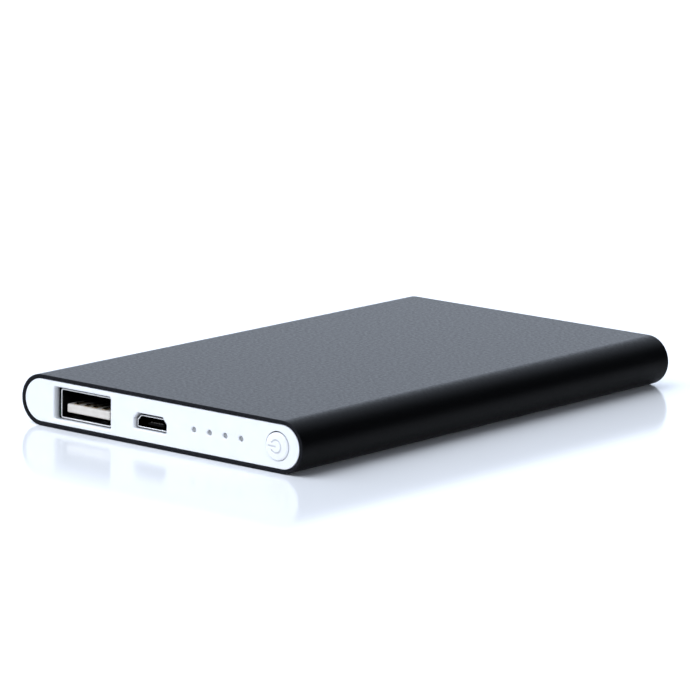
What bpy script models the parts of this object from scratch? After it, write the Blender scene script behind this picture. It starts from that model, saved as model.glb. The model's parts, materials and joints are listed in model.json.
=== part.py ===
"""A pocket power bank, in metres, +Z up, standing on its flat underside.

A flat extruded tube with fully rounded sides is closed by two plastic caps. The front cap, at -Y,
holds the output port, the input port, four charge lights and the push button. A tray slides into the
tube from behind the front cap: it carries the pouch cell and the circuit board.
The origin is the middle of the footprint, on the surface that the power bank lies on.
"""

import math

import bmesh
import bpy

# Driving dimensions: the tube
WIDTH = 0.070
LENGTH = 0.115
HEIGHT = 0.010
TUBE_WALL = 0.00075
TUBE_CHAMFER = 0.00012
ARC_STEPS = 20

# Caps: a plate with a skirt and two snap arms behind it
CAP_GAP = 0.0001
CAP_RECESS = 0.0001
CAP_PLATE = 0.0016
CAP_SKIRT = 0.0020
CAP_SKIRT_WALL = 0.0009
CAP_CHAMFER = 0.00012
ARM_X = 0.0324
ARM_THICKNESS = 0.0007
ARM_HEIGHT = 0.0020
ARM_REACH = 0.0070
BARB_X = 0.0338
BARB_LENGTH = 0.0015

# Inner tray
TRAY_LENGTH = 0.1072
TRAY_WALL = 0.0008
TRAY_RAIL_GAP = 0.00015
TRAY_RAIL_TOP = 0.0076
TRAY_BOTTOM = 0.00105
TRAY_FLOOR = 0.00185
BULKHEAD_Y = -0.0382
BULKHEAD_WALL = 0.0008
NOTCH_Z = 0.0043
BOSS_RADIUS = 0.0016
BOSS_TOP = 0.0021

# Circuit board and what stands on it
BOARD_BOTTOM = 0.00225
BOARD_TOP = 0.00325
BOARD_HALF_WIDTH = 0.0314
BOARD_FRONT = -0.0553
BOARD_BACK = -0.0390
BUTTON_NOTCH_X = 0.0252
BUTTON_NOTCH_Y = -0.0543
SEAT_GAP = 0.00008
SCREW_RADIUS = 0.0007
SCREW_HEAD_RADIUS = 0.0013
SCREW_HEAD_HEIGHT = 0.0009
SCREW_TIP = 0.0012
SCREWS = {"left": (-0.0290, -0.0470), "right": (0.0275, -0.0430)}

# USB-A output port
USB_A_X = -0.01948
USB_A_OPENING = (0.01455, 0.0063, 0.0005)
USB_A_OPENING_Z = 0.00493
USB_A_OUTER = (0.01308, 0.00580, 0.0006)
USB_A_INNER = (0.0125, 0.00522, 0.0003)
USB_A_Z = 0.00483
USB_A_FRONT = -0.05621
USB_A_BACK = -0.0429
USB_A_CUTOUT_BACK = -0.0426
USB_A_CUTOUT_GAP = 0.0003
USB_A_TONGUE = (0.0111, 0.00305, 0.00477)
USB_A_TONGUE_TIP = -0.05556
USB_A_TONGUE_CHAMFER = 0.0003
USB_A_BLOCK = (0.0122, 0.0026, 0.0074)
USB_A_BLOCK_FRONT = -0.0467
USB_A_BLOCK_BACK = -0.0430
USB_A_CONTACTS = (-0.0035, -0.0010, 0.0010, 0.0035)
USB_A_CONTACT_WIDTH = 0.0010
USB_A_CONTACT_Z = 0.00469
USB_A_CONTACT_THICKNESS = 0.0002
USB_A_CONTACT_SETBACK = 0.0003
USB_A_CONTACT_BEND = 0.00045
USB_A_CONTACT_FOOT = 0.0017
USB_A_TAB_REACH = 0.0081
USB_A_TAB_LENGTH = 0.0020
USB_A_TAB_Y = (-0.0520, -0.0450)

# Micro-USB input port
MICRO_X = -0.00227
MICRO_OPENING = (0.0082, 0.00305, 0.00615, 0.0010, 0.0011)
MICRO_OUTER = (0.0076, 0.00327, 0.00572, 0.00090, 0.0010)
MICRO_INNER = (0.00716, 0.00349, 0.00550, 0.00080, 0.00090)
MICRO_BLOCK = (0.0066, 0.00370, 0.00531, 0.00070, 0.00082)
MICRO_FRONT = -0.05662
MICRO_BACK = -0.0511
MICRO_BLOCK_FRONT = -0.0529
MICRO_BLOCK_BACK = -0.0512
MICRO_TONGUE = (0.0040, 0.00372, 0.00422)
MICRO_TONGUE_TIP = -0.0556
MICRO_PITCH = 0.00065
MICRO_CONTACTS = 5
MICRO_CONTACT_WIDTH = 0.00035
MICRO_CONTACT_Z = 0.00419
MICRO_CONTACT_THICKNESS = 0.00012
MICRO_CONTACT_SETBACK = 0.0002
MICRO_CONTACT_BEND = 0.0002
MICRO_CONTACT_FOOT = 0.0010
GROOVE_GAP = 0.00005

# Charge lights
LIGHT_X = 0.0086
LIGHT_PITCH = 0.00384
LIGHT_COUNT = 4
LIGHT_RADIUS = 0.0005
LIGHT_STUB_RADIUS = 0.0004
LIGHT_STUB_FRONT = -0.0569
GUIDE_MARGIN = 0.0012
GUIDE_Y = (-0.0557, -0.0542)
GUIDE_Z = (0.0034, 0.0061)
LED_Y = (-0.0540, -0.0532)
LED_WIDTH = 0.0020
LED_HEIGHT = 0.0010

# Push button and the switch behind it
BUTTON_X = 0.0289
BUTTON_RADIUS = 0.00265
BUTTON_HOLE_RADIUS = 0.00282
BUTTON_FRONT = -0.05775
BUTTON_CROWN = 0.00010
BUTTON_SHOULDER = 0.00030
BUTTON_COLLAR_RADIUS = 0.0031
BUTTON_COLLAR_Y = (-0.0557, -0.0551)
BUTTON_STEM_RADIUS = 0.00125
BUTTON_STEM_END = -0.0535
SWITCH_SIZE = (0.0045, 0.0030, 0.0033)
SWITCH_Y = -0.0500
PLUNGER_SIZE = (0.0016, 0.0028, 0.0012)
PLUNGER_Y = -0.0520
PLUNGER_GAP = 0.00015
DOME_Y = -0.0505
DOME_RADIUS = 0.0007
DOME_HEIGHT = 0.00055
DOME_WALL = 0.0001

# Adhesive under the tray and foam under the cell
PAD_HALF_WIDTH = 0.026
ADHESIVE_Y = (-0.050, 0.050)
ADHESIVE_Z = (0.00080, 0.00100)
FOAM_Y = (-0.030, 0.050)
FOAM_Z = (0.00190, 0.00220)

# Pouch cell, its protection board and its leads
CELL_WIDTH = 0.060
CELL_Y = (-0.0335, 0.0532)
CELL_Z = (0.00225, 0.00825)
CELL_CORNER = 0.0012
CELL_END = 0.0004
TERRACE_WIDTH = 0.056
TERRACE_Y = -0.0372
TERRACE_TOP = 0.00265
PROTECTION_WIDTH = 0.040
PROTECTION_Y = (-0.0372, -0.03395)
PROTECTION_Z = (0.00305, 0.00385)
PROTECTION_CHIP_X = (-0.0060, -0.0030)
PROTECTION_CHIP_Y = (-0.0366, -0.0346)
PROTECTION_CHIP_HEIGHT = 0.0010
TAB_WIDTH = 0.004
TAB_FOOT = 0.0028
TAB_PAD = 0.0018
TAB_THICKNESS = 0.00015
TAB_X = {"positive": -0.014, "negative": 0.015}
TAB_SLACK = 0.00007
LEAD_RADIUS = 0.00055
LEAD_X = {"red": 0.0045, "black": 0.0078}
LEAD_Y = (-0.0349, -0.0360, -0.0372, BULKHEAD_Y, -0.0392, -0.0404, -0.0415, -0.0426)
LEAD_OVER_NOTCH = 0.0002
LEAD_SAG = 0.0001
LEAD_BOARD_RISE = 0.0003

# Board parts: middle x and y, then width, depth and height
INDUCTOR_CHAMFER = 0.0006
PACKAGES = {
    "power_inductor": ((0.0125, -0.0460), (0.0060, 0.0060, 0.0028)),
    "controller_chip": ((-0.0030, -0.0455), (0.0050, 0.0040, 0.0015)),
    "boost_transistor": ((0.0200, -0.0480), (0.0030, 0.0028, 0.0011)),
    "capacitor_1": ((0.0055, -0.0470), (0.0016, 0.0032, 0.0016)),
    "capacitor_2": ((0.0190, -0.0425), (0.0032, 0.0016, 0.0016)),
    "capacitor_3": ((-0.0080, -0.0450), (0.0016, 0.0032, 0.0016)),
    "resistor_1": ((-0.0090, -0.0520), (0.0016, 0.0008, 0.00045)),
    "resistor_2": ((0.0045, -0.0515), (0.0016, 0.0008, 0.00045)),
    "resistor_3": ((0.0235, -0.0525), (0.0008, 0.0016, 0.00045)),
}

ARC_CENTRE_X = (WIDTH - HEIGHT) / 2
MID_Z = HEIGHT / 2
TUBE_RADIUS = HEIGHT / 2
TUBE_INNER_RADIUS = TUBE_RADIUS - TUBE_WALL
CAP_RADIUS = TUBE_INNER_RADIUS - CAP_GAP
SKIRT_INNER_RADIUS = CAP_RADIUS - CAP_SKIRT_WALL
CAP_FACE = LENGTH / 2 - CAP_RECESS
CAP_BACK = CAP_FACE - CAP_PLATE
SKIRT_END = CAP_BACK - CAP_SKIRT
SEAT_Z = BOARD_TOP + SEAT_GAP
OVERLAP = 0.0004

# Colour, roughness and metallic value of each finish
FINISHES = {
    "anodised": ((0.018, 0.018, 0.024), 0.42, 1.0),
    "white_plastic": ((0.86, 0.87, 0.88), 0.35, 0.0),
    "black_plastic": ((0.012, 0.012, 0.013), 0.45, 0.0),
    "adhesive": ((0.70, 0.68, 0.62), 0.80, 0.0),
    "foam": ((0.05, 0.05, 0.055), 0.95, 0.0),
    "pouch": ((0.62, 0.63, 0.65), 0.35, 1.0),
    "board": ((0.012, 0.10, 0.045), 0.40, 0.0),
    "steel": ((0.62, 0.61, 0.60), 0.25, 1.0),
    "gilt": ((0.83, 0.60, 0.28), 0.28, 1.0),
    "nickel": ((0.66, 0.64, 0.60), 0.35, 1.0),
    "clear": ((0.70, 0.71, 0.72), 0.20, 0.0),
    "lamp": ((0.85, 0.83, 0.70), 0.30, 0.0),
    "ferrite": ((0.07, 0.07, 0.075), 0.70, 0.0),
    "chip": ((0.02, 0.02, 0.022), 0.55, 0.0),
    "ceramic": ((0.42, 0.30, 0.19), 0.50, 0.0),
    "red_wire": ((0.45, 0.012, 0.010), 0.45, 0.0),
    "black_wire": ((0.015, 0.015, 0.016), 0.45, 0.0),
}


def clear_scene():
    for obj in list(bpy.data.objects):
        bpy.data.objects.remove(obj, do_unlink=True)


def finish(name, kind):
    """The object's own material."""
    colour, roughness, metallic = FINISHES[kind]
    material = bpy.data.materials.new(f"{name}_{kind}")
    material.use_nodes = True
    shader = material.node_tree.nodes["Principled BSDF"]
    shader.inputs["Base Color"].default_value = (*colour, 1.0)
    shader.inputs["Roughness"].default_value = roughness
    shader.inputs["Metallic"].default_value = metallic
    material.diffuse_color = (*colour, 1.0)
    return material


def add(name, bm, kind, location=(0, 0, 0), smooth_below=0):
    """Turn a closed bmesh into a named object. Edges under smooth_below degrees are shaded smooth."""
    bmesh.ops.recalc_face_normals(bm, faces=bm.faces)
    mesh = bpy.data.meshes.new(name)
    bm.to_mesh(mesh)
    bm.free()
    if smooth_below:
        mesh.shade_smooth()
        mesh.set_sharp_from_angle(angle=math.radians(smooth_below))
    mesh.materials.append(finish(name, kind))
    obj = bpy.data.objects.new(name, mesh)
    obj.location = location
    bpy.context.scene.collection.objects.link(obj)
    return obj


def helper(name, bm, location=(0, 0, 0)):
    """A shape that is cut from another one, or joined to it, and never seen by itself."""
    bmesh.ops.recalc_face_normals(bm, faces=bm.faces)
    mesh = bpy.data.meshes.new(name)
    bm.to_mesh(mesh)
    bm.free()
    obj = bpy.data.objects.new(name, mesh)
    obj.location = location
    obj.hide_render = True
    obj.display_type = "WIRE"
    bpy.context.scene.collection.objects.link(obj)
    return obj


def combine(obj, other, operation):
    modifier = obj.modifiers.new(other.name, "BOOLEAN")
    modifier.operation = operation
    modifier.solver = "EXACT"
    modifier.object = other


def point(u, v, along, axis):
    """The 3-D point of (u, v) in the plane across an axis, at a place along it."""
    return {"X": (along, u, v), "Y": (u, along, v), "Z": (u, v, along)}[axis]


def skin(bm, loops, ring=False):
    """Faces between neighbouring loops of vertices; a ring joins the last loop to the first."""
    pairs = list(zip(loops, loops[1:]))
    if ring:
        pairs.append((loops[-1], loops[0]))
    for first, second in pairs:
        steps = max(len(first), len(second))
        for i in range(steps):
            j = (i + 1) % steps
            corners = (
                first[i % len(first)],
                first[j % len(first)],
                second[j % len(second)],
                second[i % len(second)],
            )
            bm.faces.new(list(dict.fromkeys(corners)))


def loft(sections, ring=False, bm=None):
    """A solid through sections of (outline, place along Y). A ring is open along its middle."""
    bm = bm or bmesh.new()
    loops = [[bm.verts.new(point(u, v, y, "Y")) for u, v in outline] for outline, y in sections]
    skin(bm, loops, ring)
    if not ring:
        bm.faces.new(loops[0])
        bm.faces.new(loops[-1])
    return bm


def prism(outline, axis, start, end, bm=None):
    """An outline extruded along an axis."""
    bm = bm or bmesh.new()
    loops = [[bm.verts.new(point(u, v, along, axis)) for u, v in outline] for along in (start, end)]
    skin(bm, loops)
    for loop in loops:
        bm.faces.new(loop)
    return bm


def box(low, high, bm=None):
    outline = [(low[0], low[2]), (high[0], low[2]), (high[0], high[2]), (low[0], high[2])]
    return prism(outline, "Y", low[1], high[1], bm)


def turned(profile, steps, axis="Y", centre=(0, 0), bm=None):
    """A solid of revolution. The profile's points are (radius, place along the axis)."""
    bm = bm or bmesh.new()
    loops = []
    for radius, along in profile:
        count = steps if radius else 1
        angles = [2 * math.pi * i / steps for i in range(count)]
        around = [
            (centre[0] + radius * math.cos(angle), centre[1] + radius * math.sin(angle))
            for angle in angles
        ]
        loops.append([bm.verts.new(point(u, v, along, axis)) for u, v in around])
    skin(bm, loops)
    return bm


def disc(radius, start, end, steps, axis, centre, bm=None):
    """A round bar between two places along an axis."""
    profile = ((0, start), (radius, start), (radius, end), (0, end))
    return turned(profile, steps, axis, centre, bm)


def stadium(radius):
    """The tube's section at a given radius of its rounded sides."""
    points = []
    for side, start in ((1, -90), (-1, 90)):
        for step in range(ARC_STEPS + 1):
            angle = math.radians(start + 180 * step / ARC_STEPS)
            points.append((
                side * ARC_CENTRE_X + radius * math.cos(angle),
                MID_Z + radius * math.sin(angle),
            ))
    return points


def rounded_rectangle(width, height, radius, centre, steps=3):
    points = []
    corners = ((1, 1, 0), (-1, 1, 90), (-1, -1, 180), (1, -1, 270))
    for side_u, side_v, start in corners:
        for step in range(steps + 1):
            angle = math.radians(start + 90 * step / steps)
            points.append((
                centre[0] + side_u * (width / 2 - radius) + radius * math.cos(angle),
                centre[1] + side_v * (height / 2 - radius) + radius * math.sin(angle),
            ))
    return points


def chamfered_port(width, low, high, chamfer_u, chamfer_v, centre_u=0.0):
    """The input port's six-sided outline, with its wide side down."""
    half = width / 2
    right = [(half, low), (half, high - chamfer_v), (half - chamfer_u, high)]
    left = [(-u, v) for u, v in reversed(right)]
    return [(centre_u + u, v) for u, v in right + left]


def rail_arc(radius, low, high, steps=8):
    """The right-hand rounded side at a radius, from one height up to another."""
    start = math.asin((low - MID_Z) / radius)
    end = math.asin((high - MID_Z) / radius)
    angles = [start + (end - start) * step / steps for step in range(steps + 1)]
    return [
        (ARC_CENTRE_X + radius * math.cos(angle), MID_Z + radius * math.sin(angle)) for angle in angles
    ]


def both_sides(right):
    """Closes a right-hand outline with its mirror image."""
    return right + [(-u, v) for u, v in reversed(right)]


def smooth_path(points, samples=3):
    """A Catmull-Rom curve through the points."""
    padded = [points[0], *points, points[-1]]
    path = []
    for a, b, c, d in zip(padded, padded[1:], padded[2:], padded[3:]):
        for step in range(samples):
            t = step / samples
            path.append(tuple(
                0.5 * (2 * q + (r - p) * t + (2 * p - 5 * q + 4 * r - s) * t**2
                       + (3 * q - p - 3 * r + s) * t**3)
                for p, q, r, s in zip(a, b, c, d)
            ))
    return [*path, points[-1]]


def housing_tube():
    end = LENGTH / 2
    inner = TUBE_INNER_RADIUS
    sections = [
        (stadium(TUBE_RADIUS - TUBE_CHAMFER), -end),
        (stadium(TUBE_RADIUS), TUBE_CHAMFER - end),
        (stadium(TUBE_RADIUS), end - TUBE_CHAMFER),
        (stadium(TUBE_RADIUS - TUBE_CHAMFER), end),
        (stadium(inner + TUBE_CHAMFER), end),
        (stadium(inner), end - TUBE_CHAMFER),
        (stadium(inner), TUBE_CHAMFER - end),
        (stadium(inner + TUBE_CHAMFER), -end),
    ]
    add("housing_tube", loft(sections, ring=True), "anodised", smooth_below=30)


def end_cap(name, side):
    """A cap for the front (side -1) or the rear (side 1) of the tube."""
    sections = [
        (stadium(CAP_RADIUS - CAP_CHAMFER), side * CAP_FACE),
        (stadium(CAP_RADIUS), side * (CAP_FACE - CAP_CHAMFER)),
        (stadium(CAP_RADIUS), side * SKIRT_END),
        (stadium(SKIRT_INNER_RADIUS), side * SKIRT_END),
        (stadium(SKIRT_INNER_RADIUS), side * CAP_BACK),
    ]
    cap = add(name, loft(sections), "white_plastic", smooth_below=30)
    root_end = SKIRT_END + OVERLAP
    arm_end = CAP_BACK - ARM_REACH
    barb_end = arm_end + BARB_LENGTH / 4
    arm_outside = ARM_X + ARM_THICKNESS
    root_outside = ARC_CENTRE_X + SKIRT_INNER_RADIUS + OVERLAP
    for hand, arm_side in (("left", -1), ("right", 1)):
        outline = [
            (ARM_X, CAP_BACK + OVERLAP),
            (root_outside, CAP_BACK + OVERLAP),
            (root_outside, root_end),
            (arm_outside, root_end),
            (arm_outside, barb_end + BARB_LENGTH),
            (BARB_X, barb_end + BARB_LENGTH),
            (arm_outside, barb_end),
            (arm_outside, arm_end),
            (ARM_X, arm_end),
        ]
        placed = [(arm_side * u, side * v) for u, v in outline]
        low = MID_Z - ARM_HEIGHT / 2
        arm = helper(f"{name}_arm_{hand}", prism(placed, "Z", low, low + ARM_HEIGHT))
        combine(cap, arm, "UNION")
    return cap


def front_cap():
    cap = end_cap("front_cap", -1)
    near = -LENGTH / 2 - CAP_PLATE
    far = -CAP_BACK + OVERLAP
    bm = bmesh.new()
    width, height, radius = USB_A_OPENING
    centre = (USB_A_X, USB_A_OPENING_Z)
    prism(rounded_rectangle(width, height, radius, centre), "Y", near, far, bm)
    prism(chamfered_port(*MICRO_OPENING, MICRO_X), "Y", near, far, bm)
    for index in range(LIGHT_COUNT):
        disc(LIGHT_RADIUS, near, far, 16, "Y", (LIGHT_X + index * LIGHT_PITCH, MID_Z), bm)
    disc(BUTTON_HOLE_RADIUS, near, far, 40, "Y", (BUTTON_X, MID_Z), bm)
    combine(cap, helper("front_openings", bm), "DIFFERENCE")


def inner_tray():
    end = TRAY_LENGTH / 2
    outer_radius = TUBE_INNER_RADIUS - TRAY_RAIL_GAP
    inner_radius = outer_radius - TRAY_WALL
    outside = rail_arc(outer_radius, TRAY_BOTTOM, TRAY_RAIL_TOP)
    inside = rail_arc(inner_radius, TRAY_FLOOR, TRAY_RAIL_TOP)
    section = both_sides(outside + inside[::-1])
    tray = add("inner_tray", prism(section, "Y", -end, end), "black_plastic", smooth_below=30)
    wall = both_sides(rail_arc(inner_radius + OVERLAP, TRAY_FLOOR - OVERLAP, TRAY_RAIL_TOP - OVERLAP))
    half = BULKHEAD_WALL / 2
    bulkhead = helper("bulkhead", prism(wall, "Y", BULKHEAD_Y - half, BULKHEAD_Y + half))
    combine(tray, bulkhead, "UNION")
    bosses = bmesh.new()
    bores = bmesh.new()
    for centre in SCREWS.values():
        disc(BOSS_RADIUS, TRAY_FLOOR - OVERLAP, BOSS_TOP, 20, "Z", centre, bosses)
        disc(SCREW_RADIUS + CAP_GAP, 0, HEIGHT, 16, "Z", centre, bores)
    combine(tray, helper("screw_bosses", bosses), "UNION")
    combine(tray, helper("screw_bores", bores), "DIFFERENCE")
    windows = bmesh.new()
    window_near = CAP_BACK - ARM_REACH - BARB_LENGTH / 4
    window_far = window_near + 2 * BARB_LENGTH
    for side_x in (-1, 1):
        for side_y in (-1, 1):
            x = sorted((side_x * (ARM_X + ARM_THICKNESS), side_x * WIDTH / 2))
            y = sorted((side_y * window_near, side_y * window_far))
            low = (x[0], y[0], MID_Z - 0.6 * ARM_HEIGHT)
            high = (x[1], y[1], MID_Z + 0.6 * ARM_HEIGHT)
            box(low, high, windows)
    combine(tray, helper("barb_windows", windows), "DIFFERENCE")
    margin = 4 * LEAD_RADIUS
    low = (LEAD_X["red"] - margin, BULKHEAD_Y - BULKHEAD_WALL, NOTCH_Z)
    high = (LEAD_X["black"] + margin, BULKHEAD_Y + BULKHEAD_WALL, HEIGHT)
    combine(tray, helper("lead_notch", box(low, high)), "DIFFERENCE")


def pads():
    """The adhesive strip under the tray and the foam under the cell."""
    layers = (
        ("tray_adhesive_strip", ADHESIVE_Y, ADHESIVE_Z, "adhesive"),
        ("cell_foam_pad", FOAM_Y, FOAM_Z, "foam"),
    )
    for name, y, z, kind in layers:
        add(name, box((-PAD_HALF_WIDTH, y[0], z[0]), (PAD_HALF_WIDTH, y[1], z[1])), kind)


def battery_cell():
    middle = (CELL_Z[0] + CELL_Z[1]) / 2
    thickness = CELL_Z[1] - CELL_Z[0]
    full = rounded_rectangle(CELL_WIDTH, thickness, CELL_CORNER, (0, middle), 4)
    small = rounded_rectangle(
        CELL_WIDTH - 2 * CELL_END, thickness - 2 * CELL_END, CELL_CORNER, (0, middle), 4
    )
    front, back = CELL_Y
    sections = [(small, front), (full, front + CELL_END), (full, back - CELL_END), (small, back)]
    cell = add("battery_cell", loft(sections), "pouch", smooth_below=40)
    half = TERRACE_WIDTH / 2
    bottom = CELL_Z[0] + CELL_END / 4
    terrace = box((-half, TERRACE_Y, bottom), (half, front + CELL_CORNER, TERRACE_TOP))
    combine(cell, helper("terrace", terrace), "UNION")


def protection():
    """The board across the cell's terrace, with its chip and the cell's two welded tabs."""
    half = PROTECTION_WIDTH / 2
    low = (-half, PROTECTION_Y[0], PROTECTION_Z[0])
    high = (half, PROTECTION_Y[1], PROTECTION_Z[1])
    add("protection_board", box(low, high), "board")
    chip_z = PROTECTION_Z[1] + SEAT_GAP
    low = (PROTECTION_CHIP_X[0], PROTECTION_CHIP_Y[0], chip_z)
    high = (PROTECTION_CHIP_X[1], PROTECTION_CHIP_Y[1], chip_z + PROTECTION_CHIP_HEIGHT)
    add("protection_chip", box(low, high), "chip")
    under = TERRACE_TOP + TAB_SLACK
    over = PROTECTION_Z[1] + TAB_SLACK
    inside = PROTECTION_Y[0] - TAB_SLACK
    outside = inside - TAB_THICKNESS
    foot = inside + TAB_FOOT
    pad = inside + TAB_PAD
    outline = [
        (foot, under),
        (foot, under + TAB_THICKNESS),
        (inside, under + TAB_THICKNESS),
        (inside, over),
        (pad, over),
        (pad, over + TAB_THICKNESS),
        (outside, over + TAB_THICKNESS),
        (outside, under),
    ]
    for pole, x in TAB_X.items():
        tab = prism(outline, "X", -TAB_WIDTH / 2, TAB_WIDTH / 2)
        add(f"cell_tab_{pole}", tab, "nickel", (x, 0, 0))


def battery_leads():
    """Two insulated leads from the protection board, over the bulkhead, to the circuit board."""
    start_z = PROTECTION_Z[1] + SEAT_GAP + LEAD_RADIUS
    crest_z = NOTCH_Z + LEAD_RADIUS + LEAD_OVER_NOTCH
    near_crest_z = crest_z - LEAD_SAG
    end_z = BOARD_TOP + SEAT_GAP + LEAD_RADIUS
    heights = (
        start_z, start_z, near_crest_z, crest_z, near_crest_z, end_z + LEAD_BOARD_RISE, end_z, end_z,
    )
    for colour, x in LEAD_X.items():
        path = smooth_path([(x, y, z) for y, z in zip(LEAD_Y, heights)])
        curve = bpy.data.curves.new(f"battery_lead_{colour}", "CURVE")
        curve.dimensions = "3D"
        curve.bevel_depth = LEAD_RADIUS
        curve.bevel_resolution = 2
        curve.use_fill_caps = True
        spline = curve.splines.new("POLY")
        spline.points.add(len(path) - 1)
        for target, place in zip(spline.points, path):
            target.co = (*place, 1)
        curve.materials.append(finish(curve.name, f"{colour}_wire"))
        obj = bpy.data.objects.new(curve.name, curve)
        bpy.context.scene.collection.objects.link(obj)


def circuit_board():
    half = BOARD_HALF_WIDTH
    cut = USB_A_OUTER[0] / 2 + USB_A_CUTOUT_GAP
    outline = [
        (-half, BOARD_FRONT),
        (USB_A_X - cut, BOARD_FRONT),
        (USB_A_X - cut, USB_A_CUTOUT_BACK),
        (USB_A_X + cut, USB_A_CUTOUT_BACK),
        (USB_A_X + cut, BOARD_FRONT),
        (BUTTON_NOTCH_X, BOARD_FRONT),
        (BUTTON_NOTCH_X, BUTTON_NOTCH_Y),
        (half, BUTTON_NOTCH_Y),
        (half, BOARD_BACK),
        (-half, BOARD_BACK),
    ]
    board = add("circuit_board", prism(outline, "Z", BOARD_BOTTOM, BOARD_TOP), "board")
    holes = bmesh.new()
    for centre in SCREWS.values():
        disc(SCREW_RADIUS + 2 * CAP_GAP, 0, HEIGHT, 16, "Z", centre, holes)
    combine(board, helper("board_screw_holes", holes), "DIFFERENCE")


def board_screws():
    radius = SCREW_HEAD_RADIUS
    top = SEAT_Z + SCREW_HEAD_HEIGHT
    profile = [
        (0, top),
        (0.7 * radius, top),
        (radius, top - 0.4 * SCREW_HEAD_HEIGHT),
        (radius, SEAT_Z),
        (SCREW_RADIUS, SEAT_Z),
        (SCREW_RADIUS, SCREW_TIP + SCREW_RADIUS / 2),
        (SCREW_RADIUS / 2, SCREW_TIP),
        (0, SCREW_TIP),
    ]
    slot_half_length = 0.6 * radius
    slot_half_width = 0.12 * radius
    slot_bottom = top - 0.5 * SCREW_HEAD_HEIGHT
    for hand, (x, y) in SCREWS.items():
        screw = add(f"board_screw_{hand}", turned(profile, 16, "Z"), "steel", (x, y, 0), 40)
        a, b = slot_half_length, slot_half_width
        cross = [
            (a, -b), (a, b), (b, b), (b, a), (-b, a), (-b, b),
            (-a, b), (-a, -b), (-b, -b), (-b, -a), (b, -a), (b, -b),
        ]
        recess = prism(cross, "Z", slot_bottom, HEIGHT)
        combine(screw, helper(f"cross_recess_{hand}", recess, (x, y, 0)), "DIFFERENCE")


def bent_contact(width, tip, bend, foot, strip_z, thickness):
    """A flat strip that runs back, turns down behind the port and ends in a foot on the board."""
    outline = [
        (tip, strip_z),
        (bend, strip_z),
        (bend, SEAT_Z),
        (foot, SEAT_Z),
        (foot, SEAT_Z + thickness),
        (bend + thickness, SEAT_Z + thickness),
        (bend + thickness, strip_z + thickness),
        (tip, strip_z + thickness),
    ]
    return prism(outline, "X", -width / 2, width / 2)


def usb_a_port():
    outer = rounded_rectangle(*USB_A_OUTER, (0, USB_A_Z))
    inner = rounded_rectangle(*USB_A_INNER, (0, USB_A_Z))
    sections = [
        (outer, USB_A_FRONT), (outer, USB_A_BACK), (inner, USB_A_BACK), (inner, USB_A_FRONT),
    ]
    place = (USB_A_X, 0, 0)
    shell = add("usb_a_shell", loft(sections, ring=True), "steel", place, 40)
    wall = (USB_A_OUTER[0] - USB_A_INNER[0]) / 2
    tabs = bmesh.new()
    half = USB_A_TAB_LENGTH / 2
    for y in USB_A_TAB_Y:
        for side in (-1, 1):
            x = sorted((side * (USB_A_OUTER[0] - wall) / 2, side * USB_A_TAB_REACH))
            box((x[0], y - half, SEAT_Z), (x[1], y + half, SEAT_Z + wall), tabs)
    combine(shell, helper("usb_a_tabs", tabs, place), "UNION")
    width, low, high = USB_A_BLOCK
    block = box((-width / 2, USB_A_BLOCK_FRONT, low), (width / 2, USB_A_BLOCK_BACK, high))
    insulator = add("usb_a_insulator", block, "white_plastic", place)
    width, low, high = USB_A_TONGUE
    chamfer = USB_A_TONGUE_CHAMFER
    half = width / 2
    back = USB_A_BLOCK_FRONT + OVERLAP
    outline = [
        (-half, back), (-half, USB_A_TONGUE_TIP + chamfer), (chamfer - half, USB_A_TONGUE_TIP),
        (half - chamfer, USB_A_TONGUE_TIP), (half, USB_A_TONGUE_TIP + chamfer), (half, back),
    ]
    combine(insulator, helper("usb_a_tongue", prism(outline, "Z", low, high), place), "UNION")
    tip = USB_A_TONGUE_TIP + USB_A_CONTACT_SETBACK
    top = USB_A_CONTACT_Z + USB_A_CONTACT_THICKNESS
    grooves = bmesh.new()
    for x in USB_A_CONTACTS:
        reach = USB_A_CONTACT_WIDTH / 2 + GROOVE_GAP
        low = (x - reach, tip, USB_A_CONTACT_Z - GROOVE_GAP)
        box(low, (x + reach, USB_A_BACK, top + GROOVE_GAP), grooves)
    combine(insulator, helper("usb_a_grooves", grooves, place), "DIFFERENCE")
    for number, x in enumerate(USB_A_CONTACTS, 1):
        contact = bent_contact(
            USB_A_CONTACT_WIDTH, tip + GROOVE_GAP, USB_A_BACK + USB_A_CONTACT_BEND,
            USB_A_BACK + USB_A_CONTACT_FOOT, USB_A_CONTACT_Z, USB_A_CONTACT_THICKNESS,
        )
        add(f"usb_a_contact_{number}", contact, "gilt", (USB_A_X + x, 0, 0))


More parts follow.
